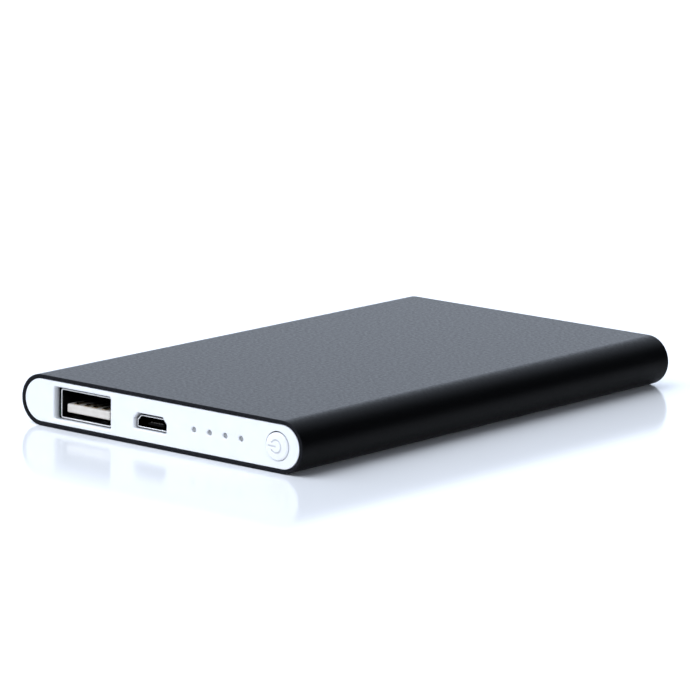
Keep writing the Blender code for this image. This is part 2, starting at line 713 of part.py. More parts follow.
def micro_usb_port():
    outer = chamfered_port(*MICRO_OUTER)
    inner = chamfered_port(*MICRO_INNER)
    sections = [
        (outer, MICRO_FRONT), (outer, MICRO_BACK), (inner, MICRO_BACK), (inner, MICRO_FRONT),
    ]
    place = (MICRO_X, 0, 0)
    add("micro_usb_shell", loft(sections, ring=True), "steel", place)
    block = prism(chamfered_port(*MICRO_BLOCK), "Y", MICRO_BLOCK_FRONT, MICRO_BLOCK_BACK)
    insulator = add("micro_usb_insulator", block, "black_plastic", place)
    width, low, high = MICRO_TONGUE
    tongue = box(
        (-width / 2, MICRO_TONGUE_TIP, low), (width / 2, MICRO_BLOCK_FRONT + OVERLAP, high)
    )
    combine(insulator, helper("micro_usb_tongue", tongue, place), "UNION")
    tip = MICRO_TONGUE_TIP + MICRO_CONTACT_SETBACK
    top = MICRO_CONTACT_Z + MICRO_CONTACT_THICKNESS
    middle = (MICRO_CONTACTS - 1) / 2
    offsets = [(index - middle) * MICRO_PITCH for index in range(MICRO_CONTACTS)]
    grooves = bmesh.new()
    for x in offsets:
        reach = MICRO_CONTACT_WIDTH / 2 + GROOVE_GAP
        low = (x - reach, tip, MICRO_CONTACT_Z - GROOVE_GAP)
        box(low, (x + reach, MICRO_BACK, top + GROOVE_GAP), grooves)
    combine(insulator, helper("micro_usb_grooves", grooves, place), "DIFFERENCE")
    for number, x in enumerate(offsets, 1):
        contact = bent_contact(
            MICRO_CONTACT_WIDTH, tip + GROOVE_GAP, MICRO_BACK + MICRO_CONTACT_BEND,
            MICRO_BACK + MICRO_CONTACT_FOOT, MICRO_CONTACT_Z, MICRO_CONTACT_THICKNESS,
        )
        add(f"micro_usb_contact_{number}", contact, "gilt", (MICRO_X + x, 0, 0))


def charge_lights():
    """The clear guide behind the cap, one stub in each hole, and a lamp behind each stub."""
    last = LIGHT_X + (LIGHT_COUNT - 1) * LIGHT_PITCH
    low = (LIGHT_X - GUIDE_MARGIN, GUIDE_Y[0], GUIDE_Z[0])
    high = (last + GUIDE_MARGIN, GUIDE_Y[1], GUIDE_Z[1])
    guide = add("light_guide", box(low, high), "clear")
    stubs = bmesh.new()
    for index in range(LIGHT_COUNT):
        centre = (LIGHT_X + index * LIGHT_PITCH, MID_Z)
        disc(LIGHT_STUB_RADIUS, LIGHT_STUB_FRONT, GUIDE_Y[0] + OVERLAP, 12, "Y", centre, stubs)
        half = LED_WIDTH / 2
        lamp = box((-half, LED_Y[0], SEAT_Z), (half, LED_Y[1], SEAT_Z + LED_HEIGHT))
        add(f"indicator_led_{index + 1}", lamp, "lamp", (centre[0], 0, 0))
    combine(guide, helper("light_stubs", stubs), "UNION")


def power_button():
    """Its origin is the middle of its front face, on the line it is pressed along."""
    edge = BUTTON_RADIUS - BUTTON_SHOULDER
    dome = [(edge * share, BUTTON_CROWN * share**2) for share in (0, 0.25, 0.5, 0.75, 1)]
    rim = [
        (
            edge + BUTTON_SHOULDER * math.sin(math.radians(turn)),
            BUTTON_CROWN + BUTTON_SHOULDER * (1 - math.cos(math.radians(turn))),
        )
        for turn in (30, 60, 90)
    ]
    collar_front = BUTTON_COLLAR_Y[0] - BUTTON_FRONT
    collar_back = BUTTON_COLLAR_Y[1] - BUTTON_FRONT
    stem_end = BUTTON_STEM_END - BUTTON_FRONT
    back = [
        (BUTTON_RADIUS, collar_front),
        (BUTTON_COLLAR_RADIUS, collar_front),
        (BUTTON_COLLAR_RADIUS, collar_back),
        (BUTTON_STEM_RADIUS, collar_back),
        (BUTTON_STEM_RADIUS, stem_end),
        (0, stem_end),
    ]
    place = (BUTTON_X, BUTTON_FRONT, MID_Z)
    add("power_button", turned(dome + rim + back, 40), "white_plastic", place, 35)


def tactile_switch():
    """The body, the plunger that the button pushes, and the snap dome behind the plunger."""
    width, depth, height = SWITCH_SIZE
    low = (-width / 2, -depth / 2, SEAT_Z)
    high = (width / 2, depth / 2, SEAT_Z + height)
    place = (BUTTON_X, SWITCH_Y, 0)
    body = add("switch_body", box(low, high), "chip", place)
    half_x, half_y, half_z = (size / 2 for size in PLUNGER_SIZE)
    dome_base = DOME_Y + DOME_HEIGHT + PLUNGER_GAP
    bore = box(
        (-half_x - PLUNGER_GAP, -depth, MID_Z - half_z - PLUNGER_GAP),
        (half_x + PLUNGER_GAP, dome_base - SWITCH_Y, MID_Z + half_z + PLUNGER_GAP),
    )
    combine(body, helper("plunger_bore", bore, place), "DIFFERENCE")
    plunger = box((-half_x, -half_y, -half_z), (half_x, half_y, half_z))
    add("switch_plunger", plunger, "black_plastic", (BUTTON_X, PLUNGER_Y, MID_Z))
    shares = (0, 0.5, 0.85, 1)
    outside = [(DOME_RADIUS * share, DOME_HEIGHT * share**2) for share in shares]
    reach = DOME_RADIUS - DOME_WALL
    inside = [
        (reach * share, DOME_WALL + (DOME_HEIGHT - DOME_WALL) * share**2) for share in shares
    ]
    dome = turned(outside + inside[::-1], 16)
    add("switch_dome", dome, "steel", (BUTTON_X, DOME_Y, MID_Z), 60)


def board_packages():
    for name, ((x, y), (width, depth, height)) in PACKAGES.items():
        half_x, half_y = width / 2, depth / 2
        if name == "power_inductor":
            a, b = half_x - INDUCTOR_CHAMFER, half_y - INDUCTOR_CHAMFER
            outline = [
                (half_x, -b), (half_x, b), (a, half_y), (-a, half_y),
                (-half_x, b), (-half_x, -b), (-a, -half_y), (a, -half_y),
            ]
            body, kind = prism(outline, "Z", SEAT_Z, SEAT_Z + height), "ferrite"
        else:
            body = box((-half_x, -half_y, SEAT_Z), (half_x, half_y, SEAT_Z + height))
            kind = "ceramic" if name.startswith("capacitor") else "chip"
        add(name, body, kind, (x, y, 0))


def main():
    clear_scene()
    housing_tube()
    front_cap()
    end_cap("rear_cap", 1)
    inner_tray()
    pads()
    battery_cell()
    protection()
    battery_leads()
    circuit_board()
    board_screws()
    usb_a_port()
    micro_usb_port()
    charge_lights()
    power_button()
    tactile_switch()
    board_packages()


main()
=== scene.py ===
"""The looks of the power bank: fine shells, ports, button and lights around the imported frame."""

import json
import math

import bmesh
import bpy
from mathutils import Matrix, Quaternion, Vector
from mathutils.geometry import tessellate_polygon

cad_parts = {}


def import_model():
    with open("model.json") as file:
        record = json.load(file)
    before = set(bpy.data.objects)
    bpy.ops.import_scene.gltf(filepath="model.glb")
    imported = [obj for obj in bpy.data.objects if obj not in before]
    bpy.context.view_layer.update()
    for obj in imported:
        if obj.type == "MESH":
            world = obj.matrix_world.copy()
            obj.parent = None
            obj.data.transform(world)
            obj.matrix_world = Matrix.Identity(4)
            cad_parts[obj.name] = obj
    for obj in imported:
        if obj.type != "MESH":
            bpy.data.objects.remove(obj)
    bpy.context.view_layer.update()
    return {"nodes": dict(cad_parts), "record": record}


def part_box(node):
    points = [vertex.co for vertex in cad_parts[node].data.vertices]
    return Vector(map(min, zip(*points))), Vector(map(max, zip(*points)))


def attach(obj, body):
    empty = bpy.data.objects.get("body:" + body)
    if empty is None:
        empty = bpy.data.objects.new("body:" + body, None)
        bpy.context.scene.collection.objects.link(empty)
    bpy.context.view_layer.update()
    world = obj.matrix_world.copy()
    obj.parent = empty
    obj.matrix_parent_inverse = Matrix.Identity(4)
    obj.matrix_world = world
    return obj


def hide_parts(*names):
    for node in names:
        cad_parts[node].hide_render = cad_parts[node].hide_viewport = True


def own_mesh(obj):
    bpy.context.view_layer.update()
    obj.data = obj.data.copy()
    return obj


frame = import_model()

MM = 0.001

# Camera, as the object is seen in the studio
CAMERA_AZIMUTH = 39.16
CAMERA_ELEVATION = 11.11
CAMERA_ROLL = 1.08
CAMERA_DISTANCE = 0.8915
CAMERA_TARGET = (-0.02308, 0.02548, 0.005)
CAMERA_LENS = 227.8

# Studio light: radiance of the room by direction, and its slightly cold white
STUDIO_TINT = (0.90, 1.0, 1.17)
LAMP_TINT = (0.93, 1.0, 1.12)
BAND_HEIGHT = (0.30, 0.80)
BAND_LIGHT = 1.88
ZENITH_LIGHT = 0.26
FRONT_SHARE = 0.18
FRONT_TOWARDS = (0.3, -1, 0)
FRONT_EDGE = (-0.2, 0.5)
SCREEN_TOWARDS = (0.62, 0.76, 0.15)
SCREEN_EDGE = (0.64, 0.91)
SCREEN_SHARE = 0.03
FLOOR_SIZE = 4.0
FLOOR_GAP = 0.02 * MM

# Softboxes that face the object: name, place, size and power
SOFTBOXES = (
    ("key", (-0.42, -0.62, 0.95), (1.3, 1.3), 20.2),
    ("overhead", (0.0, 0.0, 1.2), (1.4, 1.4), 3.6),
    ("fill", (1.2, -0.5, 0.35), (0.8, 0.5), 4.4),
)

# Sizes that the frame's boxes don't give
TUBE_WALL = 0.75 * MM
TUBE_EDGE = 0.13 * MM
CAP_EDGE = 0.12 * MM
CAP_PLATE = 1.6 * MM
CAP_SKIRT = 2.0 * MM
CAP_SKIRT_WALL = 0.9 * MM
CAP_OVERLAP = 0.05 * MM
SNAP_ARM_X = (32.4 * MM, 33.1 * MM)
SNAP_ARM_REACH = 7.0 * MM
SNAP_ARM_HALF_HEIGHT = 1.0 * MM
SNAP_ARM_EDGE = 0.08 * MM
USB_A_OPENING = (14.55 * MM, 6.3 * MM, 0.5 * MM)
USB_A_OPENING_Z = 4.93 * MM
USB_A_OPENING_EDGE = 0.34 * MM
USB_A_MOUTH = (12.5 * MM, 5.22 * MM, 0.3 * MM)
USB_A_WALL = 0.29 * MM
USB_A_LIP = 0.1 * MM
USB_A_TAB_Y = (-52.0 * MM, -45.0 * MM)
USB_A_TAB_HALF = 1.0 * MM
USB_A_TAB_Z = (3.35 * MM, 3.63 * MM)
USB_A_TAB_EDGE = 0.05 * MM
SPRING_X = 3.6 * MM
SPRING_Y = (-55.0 * MM, -49.8 * MM)
SPRING_SINK = 0.03 * MM
USB_A_BLOCK_FRONT = -46.7 * MM
USB_A_BLOCK_EDGE = 0.15 * MM
USB_A_TONGUE = (11.1 * MM, 3.05 * MM, 4.77 * MM)
USB_A_TONGUE_EDGE = 0.3 * MM
MICRO_OPENING = (8.2 * MM, 3.05 * MM, 6.15 * MM, 1.0 * MM, 1.1 * MM)
MICRO_OPENING_EDGE = 0.28 * MM
MICRO_OPENING_CORNER = 0.35 * MM
MICRO_MOUTH = (7.16 * MM, 3.49 * MM, 5.50 * MM, 0.80 * MM, 0.90 * MM)
MICRO_MOUTH_CORNER = 0.2 * MM
MICRO_WALL = 0.22 * MM
MICRO_LIP = 0.09 * MM
MICRO_BLOCK_FRONT = -52.9 * MM
MICRO_BLOCK = (6.6 * MM, 3.70 * MM, 5.31 * MM, 0.70 * MM, 0.82 * MM)
MICRO_BLOCK_CORNER = 0.15 * MM
MICRO_TONGUE = (4.0 * MM, 3.72 * MM, 4.22 * MM)
MICRO_TONGUE_EDGE = 0.1 * MM
MICRO_TONGUE_OVERLAP = 0.5 * MM
CONTACT_FOOT = {"usb_a_contact": 1.25 * MM, "micro_usb_contact": 0.8 * MM}
CONTACT_STEPS = 24
CROWN_FROM_TIP = 1.1
CROWN_LENGTH = 0.5
BOARD_CUT = -42.6 * MM
BOARD_CUT_GAP = 0.7 * MM
SWITCH_NOTCH = (25.2 * MM, -54.3 * MM)
BOARD_PARTS = (
    "controller_chip", "boost_transistor", "capacitor_1", "capacitor_2", "capacitor_3",
    "resistor_1", "resistor_2", "resistor_3",
)
TERRACE_DEPTH = 3.7 * MM
LIGHT_COUNT = 4
LIGHT_HOLE = 0.54 * MM
LIGHT_HOLE_EDGE = 0.22 * MM
LIGHT_STUB = 0.48 * MM
LIGHT_STUB_REACH = 0.18 * MM
LIGHT_STUB_CROWN = 0.06 * MM
LIGHT_BAR_FRONT = -55.7 * MM
LIGHT_BAR_EDGE = 0.15 * MM
LIGHT_OVERLAP = 0.2 * MM
BUTTON_RADIUS = 2.65 * MM
BUTTON_HOLE = 2.80 * MM
BUTTON_HOLE_EDGE = 0.07 * MM
BUTTON_HOLE_SHIFT = (0.06 * MM, 0.04 * MM)
BUTTON_SAG = 0.07 * MM
BUTTON_CROWN = 0.10 * MM
BUTTON_COLLAR = 3.1 * MM
BUTTON_COLLAR_Y = (-55.7 * MM, -55.1 * MM)
BUTTON_STEM = 1.25 * MM
BUTTON_SHOULDER = 0.36 * MM
DOME_WALL = 0.08 * MM
DOME_STEPS = 10
SYMBOL_RADIUS = 1.2 * MM
SYMBOL_WIDTH = 0.32 * MM
SYMBOL_DEPTH = 0.16 * MM
SYMBOL_X = -0.1 * MM
SYMBOL_SOFTNESS = 0.07 * MM
SYMBOL_SHADE = 0.80
STROKE = "stroke"

tube_low, tube_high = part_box("housing_tube")
cap_low, cap_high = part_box("front_cap")
MID_Z = (tube_low.z + tube_high.z) / 2
TUBE_RADIUS = (tube_high.z - tube_low.z) / 2
ARC_X = tube_high.x - TUBE_RADIUS
CAP_RADIUS = (cap_high.z - cap_low.z) / 2


def middle(node):
    low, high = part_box(node)
    return (low + high) / 2


# --- Node materials ---------------------------------------------------------------------------


class Finish:
    """A Principled material whose colour, roughness and relief come from procedural textures."""

    def __init__(self, name, **sockets):
        self.material = bpy.data.materials.new(name)
        self.material.use_nodes = True
        self.tree = self.material.node_tree
        self.shader = self.tree.nodes["Principled BSDF"]
        for socket, value in sockets.items():
            self.shader.inputs[socket.replace("_", " ")].default_value = value
        self.place = self.tree.nodes.new("ShaderNodeTexCoord").outputs["Object"]

    def node(self, kind, **settings):
        made = self.tree.nodes.new(kind)
        for key, value in settings.items():
            setattr(made, key, value)
        return made

    def noise(self, scale, detail=2.0, stretch=(1, 1, 1), rough=0.5):
        """Noise over the object, with `scale` features to a metre."""
        mapping = self.node("ShaderNodeMapping")
        mapping.inputs["Scale"].default_value = stretch
        self.tree.links.new(self.place, mapping.inputs["Vector"])
        texture = self.node("ShaderNodeTexNoise")
        texture.inputs["Scale"].default_value = scale
        texture.inputs["Detail"].default_value = detail
        texture.inputs["Roughness"].default_value = rough
        self.tree.links.new(mapping.outputs["Vector"], texture.inputs["Vector"])
        return texture.outputs["Fac"]

    def cells(self, scale):
        """Distance to the nearest of many scattered points, with `scale` of them to a metre."""
        texture = self.node("ShaderNodeTexVoronoi")
        texture.inputs["Scale"].default_value = scale
        self.tree.links.new(self.place, texture.inputs["Vector"])
        return texture.outputs["Distance"]

    def spread(self, source, low, high, start=0.3, end=0.7):
        """Maps a texture's middle range to low..high."""
        node = self.node("ShaderNodeMapRange")
        node.inputs["From Min"].default_value = start
        node.inputs["From Max"].default_value = end
        node.inputs["To Min"].default_value = low
        node.inputs["To Max"].default_value = high
        self.tree.links.new(source, node.inputs["Value"])
        return node.outputs["Result"]

    def colours(self, source, dark, light, start=0.3, end=0.7):
        """The base colour runs from dark to light over a texture's middle range."""
        ramp = self.node("ShaderNodeValToRGB")
        first, last = ramp.color_ramp.elements
        first.position, last.position = start, end
        first.color, last.color = (*dark, 1), (*light, 1)
        self.tree.links.new(source, ramp.inputs["Fac"])
        self.tree.links.new(ramp.outputs["Color"], self.shader.inputs["Base Color"])
        return self

    def painted_depth_shade(self, near, deep, share):
        """Painted shade in the recesses: the colour falls to `share` of it from |Y| near to |Y| deep.
        """
        split = self.node("ShaderNodeSeparateXYZ")
        self.tree.links.new(self.place, split.inputs["Vector"])
        reach = self.node("ShaderNodeMath", operation="ABSOLUTE")
        self.tree.links.new(split.outputs["Y"], reach.inputs[0])
        depth = self.node("ShaderNodeMapRange", interpolation_type="SMOOTHSTEP")
        for socket, value in zip(depth.inputs[1:5], (deep, near, share, 1.0)):
            socket.default_value = value
        self.tree.links.new(reach.outputs["Value"], depth.inputs["Value"])
        return self.shaded(depth.outputs["Result"])

    def shaded(self, share):
        """Multiplies the colour found so far."""
        colour = self.shader.inputs["Base Color"].links[0].from_socket
        shade = self.node("ShaderNodeVectorMath", operation="SCALE")
        self.tree.links.new(colour, shade.inputs[0])
        self.tree.links.new(share, shade.inputs["Scale"])
        self.tree.links.new(shade.outputs["Vector"], self.shader.inputs["Base Color"])
        return self

    def roughness(self, source, low, high):
        """The roughness runs from low to high over a texture's middle range."""
        self.tree.links.new(self.spread(source, low, high), self.shader.inputs["Roughness"])
        return self

    def relief(self, *layers):
        """Bump layers of (texture, height in metres), each on top of the one before."""
        normal = None
        for source, height in layers:
            bump = self.node("ShaderNodeBump")
            bump.inputs["Strength"].default_value = 1.0
            bump.inputs["Distance"].default_value = height
            self.tree.links.new(source, bump.inputs["Height"])
            if normal:
                self.tree.links.new(normal, bump.inputs["Normal"])
            normal = bump.outputs["Normal"]
        self.tree.links.new(normal, self.shader.inputs["Normal"])
        return self


def anodised_black():
    """Bead-blasted, black anodised aluminium: fine grain, with faint lines along the extrusion."""
    finish = Finish("anodised_black", IOR=1.16)
    grain = finish.noise(1700, 3.0, rough=0.7)
    lines = finish.noise(900, 2.0, stretch=(1, 0.012, 1))
    finish.colours(finish.noise(2600, 3.0), (0.006, 0.006, 0.0075), (0.011, 0.011, 0.0135))
    # Painted shade: from 0.03 mm to 0.14 mm in from each end the tube's colour falls to 8% of it, and
    # stays there over the rest, inside and out.
    finish.painted_depth_shade(57.47 * MM, 57.36 * MM, 0.08)
    finish.roughness(finish.noise(1500, 3.0, rough=0.7), 0.30, 0.44)
    finish.relief((grain, 0.009 * MM), (lines, 0.0010 * MM))
    return finish.material


def white_satin():
    """White moulded plastic with a very fine spark-eroded texture."""
    finish = Finish("white_satin", Specular_IOR_Level=0.45)
    finish.colours(finish.noise(300, 3.0), (0.81, 0.815, 0.82), (0.84, 0.845, 0.85))
    # Painted shade: the white falls to 3% of its colour from the caps' faces at 57.4 mm to 54.6 mm, in
    # the openings' walls and behind.
    finish.painted_depth_shade(57.4 * MM, 54.6 * MM, 0.03)
    finish.roughness(finish.noise(900, 2.0), 0.30, 0.40)
    finish.relief((finish.noise(6500, 3.0), 0.003 * MM))
    return finish.material


def white_button():
    """The cap's plastic, moulded smoother so the button looks polished, with painted shade greying the
    symbol's grooves and the button's sides.
    """
    finish = Finish(
        "white_button",
        Subsurface_Weight=0.35,
        Subsurface_Scale=0.5 * MM,
        Subsurface_Radius=(1.0, 0.9, 0.8),
    )
    finish.colours(finish.noise(500, 3.0), (0.825, 0.82, 0.825), (0.855, 0.85, 0.855))
    # Painted shade in the symbol's grooves: the stroke share darkens the colour down to SYMBOL_SHADE.
    stroke = finish.node("ShaderNodeAttribute", attribute_name=STROKE).outputs["Fac"]
    finish.shaded(finish.spread(stroke, 1.0, SYMBOL_SHADE, 0.0, 1.0))
    # Painted shade on the button's sides, down in the gap around it.
    finish.painted_depth_shade(57.3 * MM, 55.6 * MM, 0.10)
    finish.roughness(finish.noise(1100, 2.0), 0.20, 0.28)
    finish.relief((finish.noise(7000, 2.0), 0.0015 * MM))
    return finish.material


def sheet_steel(name, dark, light, rough=(0.16, 0.30), painted_depth_shade=None):
    """Nickel-plated sheet: rolling lines along Y and a few dull patches."""
    finish = Finish(name, Metallic=1.0)
    lines = finish.noise(3800, 3.0, stretch=(1, 0.05, 1))
    finish.colours(finish.noise(420, 4.0), dark, light)
    # Painted shade, where depth values are given: darker deeper into the port.
    if painted_depth_shade:
        finish.painted_depth_shade(*painted_depth_shade)
    finish.roughness(lines, *rough)
    finish.relief((lines, 0.0012 * MM))
    return finish.material


def moulded(
    name, dark, light, rough=(0.38, 0.52), grain=4200, depth=0.004 * MM, painted_depth_shade=None, gloss=0.5
):
    """Moulded plastic or epoxy with a fine grain."""
    finish = Finish(name, Specular_IOR_Level=gloss)
    finish.colours(finish.noise(700, 4.0), dark, light)
    # Painted shade, where depth values are given: darker deeper into the port.
    if painted_depth_shade:
        finish.painted_depth_shade(*painted_depth_shade)
    finish.roughness(finish.noise(1500, 3.0), *rough)
    finish.relief((finish.noise(grain, 3.0), depth))
    return finish.material


def gilt(name, dark, light, painted_depth_shade):
    """Gold flashed over nickel, wiped along Y by plugs."""
    finish = Finish(name, Metallic=1.0)
    finish.colours(finish.noise(1600, 4.0), dark, light)
    # Painted shade: darker deeper into the port.
    finish.painted_depth_shade(*painted_depth_shade)
    wiped = finish.noise(5200, 3.0, stretch=(1, 0.06, 1))
    finish.roughness(wiped, 0.18, 0.36)
    finish.relief((wiped, 0.001 * MM))
    return finish.material


def light_pipe():
    """Clear acrylic with frosted ends, which look grey while the lamps behind are off."""
    finish = Finish("light_pipe", Transmission_Weight=0.2, IOR=1.49)
    finish.colours(finish.noise(2400, 3.0), (0.38, 0.38, 0.375), (0.46, 0.46, 0.455))
    finish.roughness(finish.noise(3600, 2.0), 0.25, 0.40)
    finish.relief((finish.noise(8000, 3.0), 0.002 * MM))
    return finish.material


def solder_mask():
    """Green solder mask over glass cloth, with its weave just showing."""
    finish = Finish("solder_mask", Coat_Weight=0.4, Coat_Roughness=0.15)
    weave = finish.cells(1400)
    finish.colours(weave, (0.006, 0.070, 0.028), (0.014, 0.125, 0.052), 0.1, 0.7)
    finish.roughness(finish.noise(900, 3.0), 0.30, 0.45)
    finish.relief((weave, 0.010 * MM))
    return finish.material


def foil_pouch():
    """Aluminium laminate, slightly creased over the stacked foils."""
    finish = Finish("foil_pouch", Metallic=1.0)
    finish.colours(finish.noise(90, 5.0), (0.60, 0.61, 0.63), (0.68, 0.69, 0.71))
    finish.roughness(finish.noise(500, 4.0), 0.26, 0.44)
    finish.relief((finish.noise(90, 4.0), 0.06 * MM), (finish.noise(2600, 2.0), 0.004 * MM))
    return finish.material


def foam(name, dark, light):
    finish = Finish(name, Roughness=0.95)
    pores = finish.cells(2600)
    finish.colours(pores, dark, light, 0.05, 0.6)
    finish.relief((pores, 0.12 * MM))
    return finish.material


FINISHES = {
    "shell": anodised_black(),
    "cap_plastic": white_satin(),
    "tray_plastic": moulded("tray_plastic", (0.010, 0.010, 0.011), (0.020, 0.020, 0.021)),
    "adhesive": foam("adhesive", (0.52, 0.50, 0.45), (0.74, 0.72, 0.66)),
    "foam": foam("foam", (0.020, 0.020, 0.022), (0.070, 0.070, 0.075)),
    "pouch": foil_pouch(),
    "board": solder_mask(),
    "port_steel": sheet_steel("port_steel", (0.50, 0.49, 0.48), (0.70, 0.69, 0.68)),
    # Painted shade: the tongue and block darken to 4% of their colour from 55.5 mm to 50.6 mm from the
    # middle, deeper into the port.
    "port_white": moulded("port_white", (0.70, 0.645, 0.565), (0.77, 0.715, 0.64), (0.34, 0.48),
                          painted_depth_shade=(55.5 * MM, 50.6 * MM, 0.04)),
    "port_black": moulded("port_black", (0.003, 0.003, 0.0035), (0.007, 0.007, 0.0075), (0.62, 0.75),
                          gloss=0.06),
    # Painted shade: the gilt darkens to 8% of its colour from 55.2 mm to 50.5 mm from the middle, so
    # the port's contacts deeper in and the board's pads are darker.
    "gilt": gilt("gilt", (0.42, 0.31, 0.19), (0.60, 0.47, 0.31), (55.2 * MM, 50.5 * MM, 0.08)),
    "light_pipe": light_pipe(),
    "lamp": moulded("lamp", (0.78, 0.75, 0.60), (0.88, 0.86, 0.72), (0.20, 0.35)),
    "switch_plastic": moulded("switch_plastic", (0.012, 0.012, 0.013), (0.022, 0.022, 0.024)),
    "spring_steel": sheet_steel("spring_steel", (0.46, 0.46, 0.46), (0.62, 0.62, 0.62)),
    "nickel": sheet_steel("nickel", (0.52, 0.50, 0.46), (0.70, 0.68, 0.63), (0.24, 0.42)),
    "red_insulation": moulded("red_insulation", (0.34, 0.008, 0.007), (0.50, 0.016, 0.012)),
    "black_insulation": moulded("black_insulation", (0.010, 0.010, 0.011), (0.020, 0.020, 0.021)),
    "ferrite": moulded("ferrite", (0.045, 0.045, 0.048), (0.095, 0.095, 0.10), (0.6, 0.8), 2600,
                       0.02 * MM),
    "chip": moulded("chip", (0.014, 0.014, 0.016), (0.026, 0.026, 0.028), (0.5, 0.65)),
    "capacitor_ceramic": moulded("capacitor_ceramic", (0.32, 0.22, 0.13), (0.48, 0.35, 0.22)),
    "screw_steel": sheet_steel("screw_steel", (0.40, 0.40, 0.42), (0.60, 0.60, 0.62), (0.25, 0.4)),
}
BUTTON_FINISH = white_button()
# Painted shade: the port's steel darkens to 4% of its colour behind its lip, from 56.18 mm to 56.0 mm
# from the middle.
USB_A_STEEL = sheet_steel("usb_a_steel", (0.62, 0.61, 0.59), (0.78, 0.77, 0.75), (0.30, 0.44),
                          painted_depth_shade=(56.18 * MM, 56.0 * MM, 0.04))
# Painted shade: the input port's steel darkens to 3% of its colour behind its lip, from 56.60 mm to
# 56.38 mm from the middle.
MICRO_STEEL = sheet_steel("micro_steel", (0.74, 0.73, 0.72), (0.88, 0.87, 0.86),
                          painted_depth_shade=(56.60 * MM, 56.38 * MM, 0.03))
# Painted shade: the input port's contacts darken to 10% of their colour from 55.2 mm to 53.6 mm from
# the middle.
PALE_GILT = gilt("pale_gilt", (0.30, 0.28, 0.25), (0.50, 0.47, 0.43), (55.2 * MM, 53.6 * MM, 0.10))


# --- Meshes -----------------------------------------------------------------------------------

EDGE_STEPS = 6
LIP_STEPS = 4


def piece(name, bm, slot, body="case", replaces=(), material=None, smooth_below=40):
    """Turn a bmesh in the frame's metres into a piece that rides on a body."""
    bmesh.ops.recalc_face_normals(bm, faces=bm.faces)
    mesh = bpy.data.meshes.new(name)
    bm.to_mesh(mesh)
    bm.free()
    mesh.shade_smooth()
    mesh.set_sharp_from_angle(angle=math.radians(smooth_below))
    mesh.materials.append(material or FINISHES[slot])
    obj = bpy.data.objects.new(name, mesh)
    bpy.context.scene.collection.objects.link(obj)
    weighted = obj.modifiers.new("even_normals", "WEIGHTED_NORMAL")
    weighted.mode = "FACE_AREA"
    weighted.weight = 80
    weighted.keep_sharp = True
    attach(obj, body)
    if replaces:
        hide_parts(*replaces)
    return obj


def skin(bm, loops, ring=False):
    pairs = list(zip(loops, loops[1:]))
    if ring:
        pairs.append((loops[-1], loops[0]))
    for first, second in pairs:
        steps = max(len(first), len(second))
        for i in range(steps):
            j = (i + 1) % steps
            corners = (
                first[i % len(first)],
                first[j % len(first)],
                second[j % len(second)],
                second[i % len(second)],
            )
            bm.faces.new(list(dict.fromkeys(corners)))


def point(u, v, along, upright):
    """A point of a section that lies across Y, or across Z when it is upright."""
    return (u, v, along) if upright else (u, along, v)


def loft(bm, sections, ring=False, upright=False):
    """A skin through sections of (outline, place along the axis), capped unless it is a ring."""
    loops = [
        [bm.verts.new(point(u, v, along, upright)) for u, v in outline] for outline, along in sections
    ]
    skin(bm, loops, ring)
    if not ring:
        bm.faces.new(loops[0])
        bm.faces.new(loops[-1])


def box(bm, low, high, edge=0.0, segments=2):
    """A block; its edges are rounded by `edge`."""
    made = bmesh.ops.create_cube(bm, size=1.0)
    size = Vector(high) - Vector(low)
    centre = (Vector(high) + Vector(low)) / 2
    bmesh.ops.scale(bm, vec=size, verts=made["verts"])
    bmesh.ops.translate(bm, vec=centre, verts=made["verts"])
    if edge:
        edges = list({e for v in made["verts"] for e in v.link_edges})
        bmesh.ops.bevel(
            bm, geom=edges, offset=edge, segments=segments, profile=0.5, affect="EDGES"
        )


def turned(bm, profile, steps, centre):
    """A solid of revolution about a line along Y; the profile's points are (radius, y)."""
    loops = []
    for radius, y in profile:
        count = steps if radius else 1
        angles = [2 * math.pi * i / steps for i in range(count)]
        loops.append([
            bm.verts.new((centre[0] + radius * math.cos(a), y, centre[1] + radius * math.sin(a)))
            for a in angles
        ])
    skin(bm, loops)


def stadium(radius, steps=40):
    points = []
    for side, start in ((1, -90), (-1, 90)):
        for step in range(steps + 1):
            angle = math.radians(start + 180 * step / steps)
            points.append((side * ARC_X + radius * math.cos(angle), MID_Z + radius * math.sin(angle)))
    return points


def circle(radius, centre, steps=48):
    angles = [2 * math.pi * i / steps for i in range(steps)]
    return [(centre[0] + radius * math.cos(a), centre[1] + radius * math.sin(a)) for a in angles]


def rounded_rectangle(width, height, radius, centre, steps=6):
    points = []
    for side_u, side_v, start in ((1, 1, 0), (-1, 1, 90), (-1, -1, 180), (1, -1, 270)):
        for step in range(steps + 1):
            angle = math.radians(start + 90 * step / steps)
            points.append((
                centre[0] + side_u * (width / 2 - radius) + radius * math.cos(angle),
                centre[1] + side_v * (height / 2 - radius) + radius * math.sin(angle),
            ))
    return points


def rounded_polygon(corners, radius, steps=5):
    """A convex outline with each corner turned into an arc."""
    points = []
    count = len(corners)
    for i, corner in enumerate(corners):
        here = Vector(corner)
        before = (Vector(corners[i - 1]) - here).normalized()
        after = (Vector(corners[(i + 1) % count]) - here).normalized()
        half = before.angle(after) / 2
        reach = radius / math.tan(half)
        centre = here + (before + after).normalized() * (radius / math.sin(half))
        start = here + before * reach - centre
        end = here + after * reach - centre
        turn = start.angle_signed(end)
        for step in range(steps + 1):
            spun = start.copy()
            spun.rotate(Matrix.Rotation(-turn * step / steps, 2))
            points.append(tuple(centre + spun))
    return points


def port_corners(width, low, high, chamfer_u, chamfer_v, grow=0.0):
    """The input port's six corners, grown outwards by a wall."""
    half = width / 2 + grow
    low, high = low - grow, high + grow
    right = [(half, low), (half, high - chamfer_v - 0.4 * grow), (half - chamfer_u - 0.4 * grow, high)]
    return right + [(-u, v) for u, v in reversed(right)]


